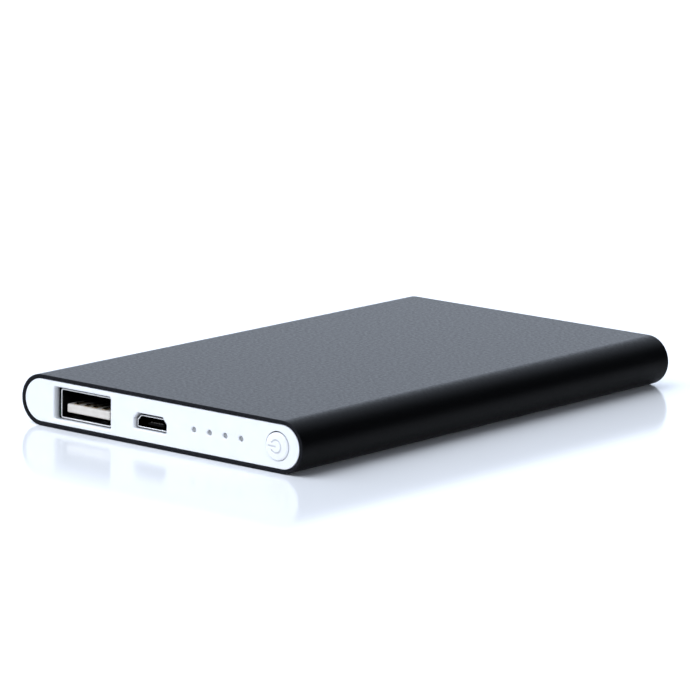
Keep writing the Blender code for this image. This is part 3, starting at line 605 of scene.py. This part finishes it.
def shifted(outline, x):
    return [(u + x, v) for u, v in outline]


def plate(bm, rim, holes, front, back, upright=False):
    """A flat plate whose edges are rounded, across Y or, when upright, across Z.

    The rim and each hole are (outline, edge): outline(grow) gives the points of the wall grown
    outwards, and edge is the radius between the wall and the front face.
    """
    side = 1 if back > front else -1
    fronts, backs = [], []
    for (outline, edge), outwards in [(rim, -1), *[(hole, 1) for hole in holes]]:
        turns = [math.radians(90 * i / EDGE_STEPS) for i in range(EDGE_STEPS + 1)]
        sections = [
            (outline(outwards * edge * (1 - math.sin(t))), front + side * edge * (1 - math.cos(t)))
            for t in turns
        ]
        sections.append((outline(0.0), back))
        loops = [
            [bm.verts.new(point(u, v, along, upright)) for u, v in points] for points, along in sections
        ]
        skin(bm, loops)
        fronts.append((sections[0][0], loops[0]))
        backs.append((sections[-1][0], loops[-1]))
    for faces in (fronts, backs):
        verts = [vert for points, loop in faces for vert in loop]
        flat = [[Vector((u, v, 0)) for u, v in points] for points, loop in faces]
        for corners in tessellate_polygon(flat):
            bm.faces.new([verts[i] for i in corners])


# --- The shells -------------------------------------------------------------------------------


def fillet(centre_r, centre_y, radius, start, steps=4):
    """Points of a rounded edge in the wall's section, from an angle on through 90 degrees."""
    angles = [math.radians(start + 90 * i / steps) for i in range(steps + 1)]
    return [(centre_r + radius * math.cos(a), centre_y + radius * math.sin(a)) for a in angles]


def housing():
    outer = TUBE_RADIUS - TUBE_EDGE
    inner = TUBE_RADIUS - TUBE_WALL + TUBE_EDGE
    front, back = tube_low.y + TUBE_EDGE, tube_high.y - TUBE_EDGE
    section = (
        fillet(outer, back, TUBE_EDGE, 0)
        + fillet(inner, back, TUBE_EDGE, 90)
        + fillet(inner, front, TUBE_EDGE, 180)
        + fillet(outer, front, TUBE_EDGE, 270)
    )
    bm = bmesh.new()
    loft(bm, [(stadium(radius, 56), y) for radius, y in section], ring=True)
    piece("tube", bm, "shell", replaces=["housing_tube"], smooth_below=60)


def skirt(bm, plate_back, side):
    """The cap's skirt and its two snap arms, hidden in the tube."""
    outer = CAP_RADIUS
    inner = CAP_RADIUS - CAP_SKIRT_WALL
    near, far = plate_back + side * CAP_OVERLAP, plate_back - side * CAP_SKIRT
    sections = [
        (stadium(outer), near), (stadium(outer), far), (stadium(inner), far), (stadium(inner), near),
    ]
    loft(bm, sections, ring=True)
    for hand in (-1, 1):
        x = sorted(hand * reach for reach in SNAP_ARM_X)
        y = sorted((plate_back, plate_back - side * SNAP_ARM_REACH))
        low = (x[0], y[0], MID_Z - SNAP_ARM_HALF_HEIGHT)
        high = (x[1], y[1], MID_Z + SNAP_ARM_HALF_HEIGHT)
        box(bm, low, high, SNAP_ARM_EDGE)


def stadium_rim():
    return (lambda grow: stadium(CAP_RADIUS + grow, 56)), CAP_EDGE


def round_hole(centre, radius, edge, steps):
    return (lambda grow: circle(radius + grow, centre, steps)), edge


def front_shell():
    usb = middle("usb_a_shell").x
    micro = middle("micro_usb_shell").x
    button = middle("power_button")

    def usb_opening(grow):
        width, height, radius = USB_A_OPENING
        place = (usb, USB_A_OPENING_Z)
        return rounded_rectangle(width + 2 * grow, height + 2 * grow, radius + grow, place)

    def micro_opening(grow):
        corners = port_corners(*MICRO_OPENING, grow)
        return shifted(rounded_polygon(corners, MICRO_OPENING_CORNER + 0.5 * grow), micro)

    holes = [
        (usb_opening, USB_A_OPENING_EDGE),
        (micro_opening, MICRO_OPENING_EDGE),
        round_hole(
            (button.x + BUTTON_HOLE_SHIFT[0], button.z + BUTTON_HOLE_SHIFT[1]),
            BUTTON_HOLE, BUTTON_HOLE_EDGE, 96,
        ),
    ]
    for number in range(1, LIGHT_COUNT + 1):
        place = (middle(f"indicator_led_{number}").x, MID_Z)
        holes.append(round_hole(place, LIGHT_HOLE, LIGHT_HOLE_EDGE, 36))
    face = cap_low.y
    bm = bmesh.new()
    plate(bm, stadium_rim(), holes, face, face + CAP_PLATE)
    skirt(bm, face + CAP_PLATE, -1)
    piece("front_shell", bm, "cap_plastic", replaces=["front_cap"])


def rear_shell():
    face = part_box("rear_cap")[1].y
    bm = bmesh.new()
    plate(bm, stadium_rim(), [], face, face - CAP_PLATE)
    skirt(bm, face - CAP_PLATE, 1)
    piece("rear_shell", bm, "cap_plastic", replaces=["rear_cap"])


# --- The output port --------------------------------------------------------------------------


def port_sleeve(bm, around, front, back, wall, lip):
    """A folded sheet sleeve; around(grow) is its outline, lip the radius of its front edges."""
    sections = [(around(wall), back)]
    for middle_of_edge, start in ((wall - lip, 0), (lip, 90)):
        for step in range(LIP_STEPS + 1):
            angle = math.radians(start + 90 * step / LIP_STEPS)
            grow = middle_of_edge + lip * math.cos(angle)
            sections.append((around(grow), front + lip * (1 - math.sin(angle))))
    sections.append((around(0.0), back))
    loft(bm, sections, ring=True)


def usb_a_shell():
    low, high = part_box("usb_a_shell")
    centre = (low + high) / 2
    width, height, radius = USB_A_MOUTH

    def around(grow):
        place = (centre.x, centre.z)
        return rounded_rectangle(width + 2 * grow, height + 2 * grow, radius + grow, place)

    bm = bmesh.new()
    port_sleeve(bm, around, low.y, high.y, USB_A_WALL, USB_A_LIP)
    for side in (-1, 1):
        for y in USB_A_TAB_Y:
            wall = centre.x + side * (width + USB_A_WALL) / 2
            reach = sorted((wall, high.x if side > 0 else low.x))
            tab_low = (reach[0], y - USB_A_TAB_HALF, USB_A_TAB_Z[0])
            tab_high = (reach[1], y + USB_A_TAB_HALF, USB_A_TAB_Z[1])
            box(bm, tab_low, tab_high, USB_A_TAB_EDGE)
    piece("usb_a_shell_sheet", bm, "port_steel", replaces=["usb_a_shell"], material=USB_A_STEEL)
    for hand, side_x in (("left", -1), ("right", 1)):
        for level, side_z in (("low", -1), ("high", 1)):
            rise = height / 2 - SPRING_SINK
            place = (centre.x + side_x * SPRING_X, centre.z + side_z * rise)
            spring_finger(f"usb_a_spring_{level}_{hand}", place, side_z)


def spring_finger(name, place, side):
    """A leaf spring that grips the plug: it bows inwards from the shell's wall."""
    half, thickness, bow = 0.9 * MM, 0.16 * MM, 0.42 * MM
    start, end = SPRING_Y
    steps = 12
    bm = bmesh.new()
    loops = []
    for step in range(steps + 1):
        share = step / steps
        y = start + (end - start) * share
        near = place[1] - side * bow * math.sin(math.pi * share) ** 1.5
        far = near - side * thickness
        corners = ((-half, near), (half, near), (half, far), (-half, far))
        loops.append([bm.verts.new((place[0] + u, y, v)) for u, v in corners])
    skin(bm, loops)
    bm.faces.new(loops[0])
    bm.faces.new(loops[-1])
    piece(name, bm, "port_steel", material=USB_A_STEEL)


def usb_a_insulator():
    low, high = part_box("usb_a_insulator")
    x = (low.x + high.x) / 2
    width, bottom, top = USB_A_TONGUE
    bm = bmesh.new()
    box(bm, (low.x, USB_A_BLOCK_FRONT, low.z), high, USB_A_BLOCK_EDGE)
    tongue_low = (x - width / 2, low.y, bottom)
    tongue_high = (x + width / 2, USB_A_BLOCK_FRONT + MM, top)
    box(bm, tongue_low, tongue_high, USB_A_TONGUE_EDGE, segments=5)
    piece("usb_a_tongue", bm, "port_white", replaces=["usb_a_insulator"])


def port_contacts(prefix, count, thickness, crown, material):
    """Gilt blades with a crown near the tip, bent down to the board behind the port."""
    for number in range(1, count + 1):
        node = f"{prefix}_{number}"
        low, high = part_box(node)
        level = high.z - thickness
        bend = high.y - CONTACT_FOOT[prefix]
        run = [low.y + (bend - low.y) * i / CONTACT_STEPS for i in range(CONTACT_STEPS + 1)]
        path = []
        for y in run:
            from_crown = ((y - low.y) / MM - CROWN_FROM_TIP) / CROWN_LENGTH
            path.append((y, level + crown * math.exp(-from_crown ** 2)))
        path += [
            (bend + 0.6 * thickness, level - 0.5 * thickness),
            (bend + 0.8 * thickness, low.z + 0.9 * thickness),
            (bend + 1.3 * thickness, low.z),
            (high.y, low.z),
        ]
        bm = bmesh.new()
        strip(bm, path, low.x, high.x, thickness)
        piece(f"{node}_blade", bm, "gilt", replaces=[node], material=material)


def strip(bm, path, left, right, thickness):
    """A flat strip bent along a path of (y, z), its thickness measured across the path."""
    loops = []
    for i, (y, z) in enumerate(path):
        before = Vector(path[max(i - 1, 0)])
        after = Vector(path[min(i + 1, len(path) - 1)])
        along = (after - before).normalized()
        across = Vector((-along.y, along.x)) * thickness
        near, far = Vector((y, z)), Vector((y, z)) + across
        loops.append([
            bm.verts.new((left, near.x, near.y)), bm.verts.new((right, near.x, near.y)),
            bm.verts.new((right, far.x, far.y)), bm.verts.new((left, far.x, far.y)),
        ])
    skin(bm, loops)
    bm.faces.new(loops[0])
    bm.faces.new(loops[-1])


# --- The input port ---------------------------------------------------------------------------


def micro_usb_shell():
    low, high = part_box("micro_usb_shell")
    x = (low.x + high.x) / 2

    def around(grow):
        corners = port_corners(*MICRO_MOUTH, grow)
        return shifted(rounded_polygon(corners, MICRO_MOUTH_CORNER + 0.5 * grow), x)

    bm = bmesh.new()
    port_sleeve(bm, around, low.y, high.y, MICRO_WALL, MICRO_LIP)
    piece(
        "micro_usb_shell_sheet", bm, "port_steel", replaces=["micro_usb_shell"], material=MICRO_STEEL
    )


def micro_usb_insulator():
    low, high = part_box("micro_usb_insulator")
    x = (low.x + high.x) / 2
    outline = shifted(rounded_polygon(port_corners(*MICRO_BLOCK), MICRO_BLOCK_CORNER), x)
    width, bottom, top = MICRO_TONGUE
    bm = bmesh.new()
    loft(bm, [(outline, MICRO_BLOCK_FRONT), (outline, high.y)])
    tongue_low = (x - width / 2, low.y, bottom)
    tongue_high = (x + width / 2, MICRO_BLOCK_FRONT + MICRO_TONGUE_OVERLAP, top)
    box(bm, tongue_low, tongue_high, MICRO_TONGUE_EDGE)
    piece("micro_usb_tongue", bm, "port_black", replaces=["micro_usb_insulator"])


# --- Lights and button ------------------------------------------------------------------------


def light_windows():
    low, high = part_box("light_guide")
    tip = low.y - LIGHT_STUB_REACH
    root = LIGHT_BAR_FRONT + LIGHT_OVERLAP
    crown = LIGHT_STUB_CROWN
    profile = [
        (0, tip), (0.45 * LIGHT_STUB, tip + 0.15 * crown), (0.8 * LIGHT_STUB, tip + 0.6 * crown),
        (LIGHT_STUB, tip + 1.6 * crown), (LIGHT_STUB, root), (0, root),
    ]
    bm = bmesh.new()
    box(bm, (low.x, LIGHT_BAR_FRONT, low.z), high, LIGHT_BAR_EDGE)
    for number in range(1, LIGHT_COUNT + 1):
        turned(bm, profile, 28, (middle(f"indicator_led_{number}").x, MID_Z))
    piece("light_pipe_bar", bm, "light_pipe", replaces=["light_guide"])


def symbol_distance(u, v):
    """How far a point of the button's face is from the power symbol's strokes.

    The ring is open towards -X, and the bar lies in its gap.
    """
    ring_gap = math.radians(38)
    angle = math.atan2(v, -u)
    if abs(angle) < ring_gap:
        end = (-SYMBOL_RADIUS * math.cos(ring_gap), SYMBOL_RADIUS * math.sin(ring_gap))
        ring = math.hypot(u - end[0], abs(v) - end[1])
    else:
        ring = abs(math.hypot(u, v) - SYMBOL_RADIUS)
    start, stop = -1.45 * SYMBOL_RADIUS, -0.1 * SYMBOL_RADIUS
    bar = math.hypot(u - min(max(u, start), stop), v)
    return min(ring, bar)


def button():
    low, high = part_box("power_button")
    centre = (low + high) / 2 - Vector((0, 0, BUTTON_SAG))
    edge = BUTTON_RADIUS - BUTTON_SHOULDER
    rings, spokes = 64, 200
    bm = bmesh.new()
    stroke = bm.verts.layers.float.new(STROKE)
    loops = [[bm.verts.new((centre.x, low.y, centre.z))]]
    for ring in range(1, rings + 1):
        radius = edge * ring / rings
        crown = BUTTON_CROWN * (radius / edge) ** 2
        loop = []
        for spoke in range(spokes):
            angle = 2 * math.pi * spoke / spokes
            u, v = radius * math.cos(angle), radius * math.sin(angle)
            apart = symbol_distance(u - SYMBOL_X, v) - SYMBOL_WIDTH / 2
            share = min(max(0.5 - apart / SYMBOL_SOFTNESS, 0.0), 1.0)
            share = share * share * (3 - 2 * share)
            y = low.y + crown + SYMBOL_DEPTH * share
            vert = bm.verts.new((centre.x + u, y, centre.z + v))
            # The stroke share also marks where painted shade greys the grooves.
            vert[stroke] = share
            loop.append(vert)
        loops.append(loop)
    steps = 6
    back = [
        (edge + BUTTON_SHOULDER * math.sin(math.radians(90 * i / steps)),
         low.y + BUTTON_CROWN + BUTTON_SHOULDER * (1 - math.cos(math.radians(90 * i / steps))))
        for i in range(1, steps + 1)
    ]
    collar_front, collar_back = BUTTON_COLLAR_Y
    back += [
        (BUTTON_RADIUS, collar_front), (BUTTON_COLLAR, collar_front), (BUTTON_COLLAR, collar_back),
        (BUTTON_STEM, collar_back), (BUTTON_STEM, high.y),
    ]
    for radius, y in back:
        angles = [2 * math.pi * i / spokes for i in range(spokes)]
        loops.append([
            bm.verts.new((centre.x + radius * math.cos(a), y, centre.z + radius * math.sin(a)))
            for a in angles
        ])
    skin(bm, loops)
    bm.faces.new(loops[-1])
    piece("button_key", bm, "cap_plastic", "button", ["power_button"], BUTTON_FINISH, 50)


def snap_dome():
    """The switch's spring disc, flattened towards its base."""
    low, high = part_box("switch_dome")
    centre = (low + high) / 2
    radius, height = (high.x - low.x) / 2, high.y - low.y
    outside, inside = [], []
    for step in range(DOME_STEPS + 1):
        share = step / DOME_STEPS
        rise = (1 - math.cos(math.pi * share)) / 2
        outside.append((radius * share, low.y + height * rise))
        depth = low.y + DOME_WALL + (height - DOME_WALL) * rise
        inside.append(((radius - DOME_WALL) * share, depth))
    bm = bmesh.new()
    turned(bm, outside + inside[::-1], 40, (centre.x, centre.z))
    dome = piece("snap_dome", bm, "spring_steel", replaces=["switch_dome"])
    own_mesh(dome)


# --- The board and its parts --------------------------------------------------------------------


def circuit_board():
    """The board, notched for the output port and the switch and drilled for its screws."""
    low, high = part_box("circuit_board")
    usb_low, usb_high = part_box("usb_a_insulator")
    cut_left, cut_right = usb_low.x - BOARD_CUT_GAP, usb_high.x + BOARD_CUT_GAP
    outline = [
        (low.x, low.y), (cut_left, low.y), (cut_left, BOARD_CUT), (cut_right, BOARD_CUT),
        (cut_right, low.y), (SWITCH_NOTCH[0], low.y), SWITCH_NOTCH, (high.x, SWITCH_NOTCH[1]),
        (high.x, high.y), (low.x, high.y),
    ]
    edge = 0.05 * MM
    screw_hole = 0.9 * MM
    shrunk = [(u - math.copysign(edge, u), v) for u, v in outline]
    holes = []
    for hand in ("left", "right"):
        place = middle(f"board_screw_{hand}")
        holes.append(round_hole((place.x, place.y), screw_hole, edge, 32))
    bm = bmesh.new()
    plate(bm, ((lambda grow: shrunk if grow else outline), edge), holes, high.z, low.z, upright=True)
    piece("board_laminate", bm, "board", replaces=["circuit_board"])
    board_pads(low, high, high.z - edge)


def board_pads(low, high, sunk):
    """Gilt solder pads at the front and back of each part, and a row of plated holes."""
    top = high.z + 0.04 * MM
    pads_in_row, holes_in_row = 3, 14
    half_x, half_y, pad_edge = 0.2 * MM, 0.25 * MM, 0.015 * MM
    ring, bore, from_back = 0.28 * MM, 0.14 * MM, 0.7 * MM
    pads = bmesh.new()
    for node in BOARD_PARTS:
        start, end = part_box(node)
        for y in (start.y, end.y):
            for step in range(pads_in_row):
                x = start.x + (end.x - start.x) * (step + 0.5) / pads_in_row
                box(pads, (x - half_x, y - half_y, sunk), (x + half_x, y + half_y, top), pad_edge)
    for step in range(holes_in_row):
        centre = (low.x + (high.x - low.x) * (step + 0.5) / holes_in_row, high.y - from_back)
        rings = ((ring, sunk), (ring, top), (bore, top), (bore, low.z))
        loft(pads, [(circle(radius, centre, 20), z) for radius, z in rings], upright=True)
    piece("board_pads", pads, "gilt")


def moulded_chip(node, leads):
    """A chip in a drafted case, with gull-wing leads along its front and back."""
    low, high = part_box(node)
    centre = ((low.x + high.x) / 2, (low.y + high.y) / 2)
    width, depth, height = high - low
    reach = 0.14 * depth
    parting = low.z + 0.45 * height
    draft = 0.08 * height
    stand_off, edge, corner = 0.04 * MM, 0.05 * MM, 0.1 * MM
    case = bmesh.new()
    sections = (
        (draft, low.z + stand_off), (0.0, parting), (draft, high.z - edge), (draft + edge, high.z),
    )
    loft(case, [
        (rounded_rectangle(width - 2 * inset, depth - 2 * (reach + inset), corner, centre), z)
        for inset, z in sections
    ], upright=True)
    piece(f"{node}_case", case, "chip", replaces=[node])
    metal = bmesh.new()
    thickness = 0.12 * MM
    half = 0.22 * width / leads
    for side, start, end in ((-1, low.y + reach, low.y), (1, high.y - reach, high.y)):
        path = [
            (start - side * 0.2 * MM, parting), (start + side * 0.3 * reach, parting),
            (start + side * 0.5 * reach, low.z + thickness), (end, low.z),
        ]
        for lead in range(leads):
            x = low.x + width * (lead + 0.5) / leads
            strip(metal, path, x - half, x + half, thickness if side < 0 else -thickness)
    piece(f"{node}_leads", metal, "nickel")


def end_capped(node, slot):
    """A chip capacitor or resistor with its two ends plated."""
    low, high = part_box(node)
    size = high - low
    axis = 0 if size.x > size.y else 1
    margin = Vector((1, 1, 1)) * 0.03 * MM
    body = bmesh.new()
    box(body, low + margin, high - margin, 0.04 * MM)
    piece(f"{node}_body", body, slot, replaces=[node])
    ends = bmesh.new()
    reach = 0.24 * size[axis]
    for start in (low[axis], high[axis] - reach):
        near, far = low.copy(), high.copy()
        near[axis], far[axis] = start, start + reach
        box(ends, near, far, 0.06 * MM, segments=3)
    piece(f"{node}_ends", ends, "nickel")


def power_inductor():
    """A shielded inductor: a ferrite block with rounded shoulders around its capped winding."""
    low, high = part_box("power_inductor")
    centre = ((low.x + high.x) / 2, (low.y + high.y) / 2)
    width = high.x - low.x
    base = low.z + 0.15 * MM
    block = bmesh.new()
    inset_and_drop = ((0.0, 0.35), (0.12, 0.12), (0.35, 0.02), (1.0, 0.02), (1.1, 0.15))
    sections = [(width, base)]
    sections += [(width - 2 * inset * MM, high.z - drop * MM) for inset, drop in inset_and_drop]
    loft(block, [
        (rounded_rectangle(across, across, 0.22 * across, centre), z) for across, z in sections
    ], upright=True)
    core = ((1.7 * MM, base), (1.7 * MM, high.z - 0.05 * MM), (1.6 * MM, high.z))
    loft(block, [(circle(radius, centre, 48), z) for radius, z in core], upright=True)
    piece("inductor_ferrite", block, "ferrite", replaces=["power_inductor"])
    clips = bmesh.new()
    half, clip_edge = 1.4 * MM, 0.04 * MM
    for side in (-1, 1):
        x = sorted((centre[0] + side * 0.5 * width, centre[0] + side * 0.32 * width))
        box(clips, (x[0], centre[1] - half, low.z), (x[1], centre[1] + half, base), clip_edge)
    piece("inductor_terminals", clips, "nickel")


def indicator_leds():
    """Surface lamps: a white base with a cast lens on it."""
    inset, base, overlap = 0.3 * MM, 0.35 * MM, 0.05 * MM
    for number in range(1, LIGHT_COUNT + 1):
        node = f"indicator_led_{number}"
        low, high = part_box(node)
        lens_low = (low.x + inset, low.y, low.z + base - overlap)
        lens_high = (high.x - inset, high.y, high.z)
        bm = bmesh.new()
        box(bm, low, (high.x, high.y, low.z + base), 0.04 * MM)
        box(bm, lens_low, lens_high, 0.12 * MM, segments=4)
        piece(f"{node}_lens", bm, "lamp", replaces=[node])


# --- The cell and its pads ----------------------------------------------------------------------


def pouch_cell():
    """A laminate pouch: soft shoulders at its ends, folded side seams and a thin sealed terrace."""
    low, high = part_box("battery_cell")
    front = low.y + TERRACE_DEPTH
    thickness = high.z - low.z
    centre = (0, (low.z + high.z) / 2)
    seam = 0.3 * MM
    width = high.x - low.x - 2 * seam
    bm = bmesh.new()
    shoulders = ((1.1, 0.0), (0.45, 0.15), (0.12, 0.6), (0.0, 1.4))
    sections = [(inset, front + run * MM) for inset, run in shoulders]
    sections += [(inset, high.y - run * MM) for inset, run in reversed(shoulders)]
    loft(bm, [
        (rounded_rectangle(width - 2 * inset * MM, thickness - 2 * inset * MM, 1.1 * MM, centre), y)
        for inset, y in sections
    ])
    for side in (-1, 1):
        x = sorted((side * (width / 2 - 0.1 * MM), side * (width / 2 + seam)))
        box(bm, (x[0], front + MM, low.z + MM), (x[1], high.y - MM, high.z - MM), 0.12 * MM)
    terrace_low = low + Vector((2.0, 0, 0.1)) * MM
    terrace_high = (high.x - 2.0 * MM, front + 1.2 * MM, low.z + 0.4 * MM)
    box(bm, terrace_low, terrace_high, 0.05 * MM)
    piece("pouch_foil", bm, "pouch", replaces=["battery_cell"])


def soft_pads():
    """The adhesive strip and the foam, die-cut with rounded corners and slightly crushed edges."""
    for node, slot in (("tray_adhesive_strip", "adhesive"), ("cell_foam_pad", "foam")):
        low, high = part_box(node)
        centre = ((low.x + high.x) / 2, (low.y + high.y) / 2)
        width, depth, height = high - low
        sections = (
            (0.25 * height, low.z), (0.0, low.z + 0.3 * height), (0.0, high.z - 0.3 * height),
            (0.25 * height, high.z),
        )
        bm = bmesh.new()
        loft(bm, [
            (rounded_rectangle(width - 2 * inset, depth - 2 * inset, 1.5 * MM, centre), z)
            for inset, z in sections
        ], upright=True)
        piece(f"{node}_sheet", bm, slot, replaces=[node])


# --- The frame's own nodes ----------------------------------------------------------------------


def dress_frame():
    """Every node gets its slot's finish; the ones that no piece replaces are seen with it."""
    slots = {row["node"]: row["material_slot"] for row in frame["record"]["subparts"]}
    for node, obj in frame["nodes"].items():
        obj.data.materials.clear()
        obj.data.materials.append(FINISHES[slots[node]])


# --- Studio -----------------------------------------------------------------------------------


def floor():
    bm = bmesh.new()
    bmesh.ops.create_grid(bm, x_segments=1, y_segments=1, size=FLOOR_SIZE)
    mesh = bpy.data.meshes.new("floor")
    bm.to_mesh(mesh)
    bm.free()
    obj = bpy.data.objects.new("floor", mesh)
    obj.location.z = tube_low.z - FLOOR_GAP
    bpy.context.scene.collection.objects.link(obj)
    finish = Finish("white_acrylic", IOR=1.28)
    finish.colours(finish.noise(30, 2.0), (0.72, 0.72, 0.72), (0.73, 0.73, 0.73))
    finish.roughness(finish.noise(12, 2.0), 0.13, 0.14)
    mesh.materials.append(finish.material)


def world():
    """A bright band behind the object that fades upwards, dark to the right and dim in front."""
    made = bpy.data.worlds.new("studio")
    bpy.context.scene.world = made
    made.use_nodes = True
    nodes, links = made.node_tree.nodes, made.node_tree.links
    nodes.clear()
    direction = nodes.new("ShaderNodeTexCoord").outputs["Generated"]

    def fade(source, start, end, low, high):
        node = nodes.new("ShaderNodeMapRange")
        node.interpolation_type = "SMOOTHSTEP"
        for socket, value in zip(node.inputs[1:5], (start, end, low, high)):
            socket.default_value = value
        links.new(source, node.inputs["Value"])
        return node.outputs["Result"]

    def towards(axis):
        node = nodes.new("ShaderNodeVectorMath")
        node.operation = "DOT_PRODUCT"
        node.inputs[1].default_value = Vector(axis).normalized()
        links.new(direction, node.inputs[0])
        return node.outputs["Value"]

    def product(first, second):
        node = nodes.new("ShaderNodeMath")
        node.operation = "MULTIPLY"
        links.new(first, node.inputs[0])
        links.new(second, node.inputs[1])
        return node.outputs["Value"]

    height = fade(towards((0, 0, 1)), *BAND_HEIGHT, BAND_LIGHT, ZENITH_LIGHT)
    front = fade(towards(FRONT_TOWARDS), *FRONT_EDGE, 1.0, FRONT_SHARE)
    screen = fade(towards(SCREEN_TOWARDS), *SCREEN_EDGE, 1.0, SCREEN_SHARE)
    lit = nodes.new("ShaderNodeBackground")
    lit.inputs["Color"].default_value = (*STUDIO_TINT, 1)
    links.new(product(product(height, front), screen), lit.inputs["Strength"])
    out = nodes.new("ShaderNodeOutputWorld")
    links.new(lit.outputs["Background"], out.inputs["Surface"])


def softbox(name, location, size, power):
    light = bpy.data.lights.new(name, "AREA")
    light.shape = "RECTANGLE"
    light.size, light.size_y = size
    light.energy = power
    light.color = LAMP_TINT
    obj = bpy.data.objects.new(name, light)
    obj.location = location
    obj.rotation_mode = "QUATERNION"
    obj.rotation_quaternion = Vector(location).to_track_quat("Z", "Y")
    bpy.context.scene.collection.objects.link(obj)


def camera():
    azimuth, elevation = math.radians(CAMERA_AZIMUTH), math.radians(CAMERA_ELEVATION)
    back = Vector((
        math.sin(azimuth) * math.cos(elevation),
        -math.cos(azimuth) * math.cos(elevation),
        math.sin(elevation),
    ))
    data = bpy.data.cameras.new("camera")
    data.lens = CAMERA_LENS
    data.sensor_width = 36.0
    data.clip_start, data.clip_end = 0.05, 20.0
    obj = bpy.data.objects.new("camera", data)
    obj.location = Vector(CAMERA_TARGET) + back * CAMERA_DISTANCE
    obj.rotation_mode = "QUATERNION"
    roll = Quaternion((0, 0, 1), math.radians(CAMERA_ROLL))
    obj.rotation_quaternion = back.to_track_quat("Z", "Y") @ roll
    bpy.context.scene.collection.objects.link(obj)
    bpy.context.scene.camera = obj


dress_frame()
housing()
front_shell()
rear_shell()
usb_a_shell()
usb_a_insulator()
port_contacts("usb_a_contact", 4, thickness=0.2 * MM, crown=0.22 * MM, material=FINISHES["gilt"])
micro_usb_shell()
micro_usb_insulator()
port_contacts("micro_usb_contact", 5, thickness=0.12 * MM, crown=0.06 * MM, material=PALE_GILT)
light_windows()
button()
snap_dome()
circuit_board()
moulded_chip("controller_chip", leads=6)
moulded_chip("boost_transistor", leads=3)
moulded_chip("protection_chip", leads=3)
for number in range(1, 4):
    end_capped(f"capacitor_{number}", "capacitor_ceramic")
    end_capped(f"resistor_{number}", "chip")
power_inductor()
indicator_leds()
pouch_cell()
soft_pads()
floor()
world()
for name, place, size, power in SOFTBOXES:
    softbox(name, place, size, power)
camera()
bpy.context.scene.view_settings.view_transform = "Standard"
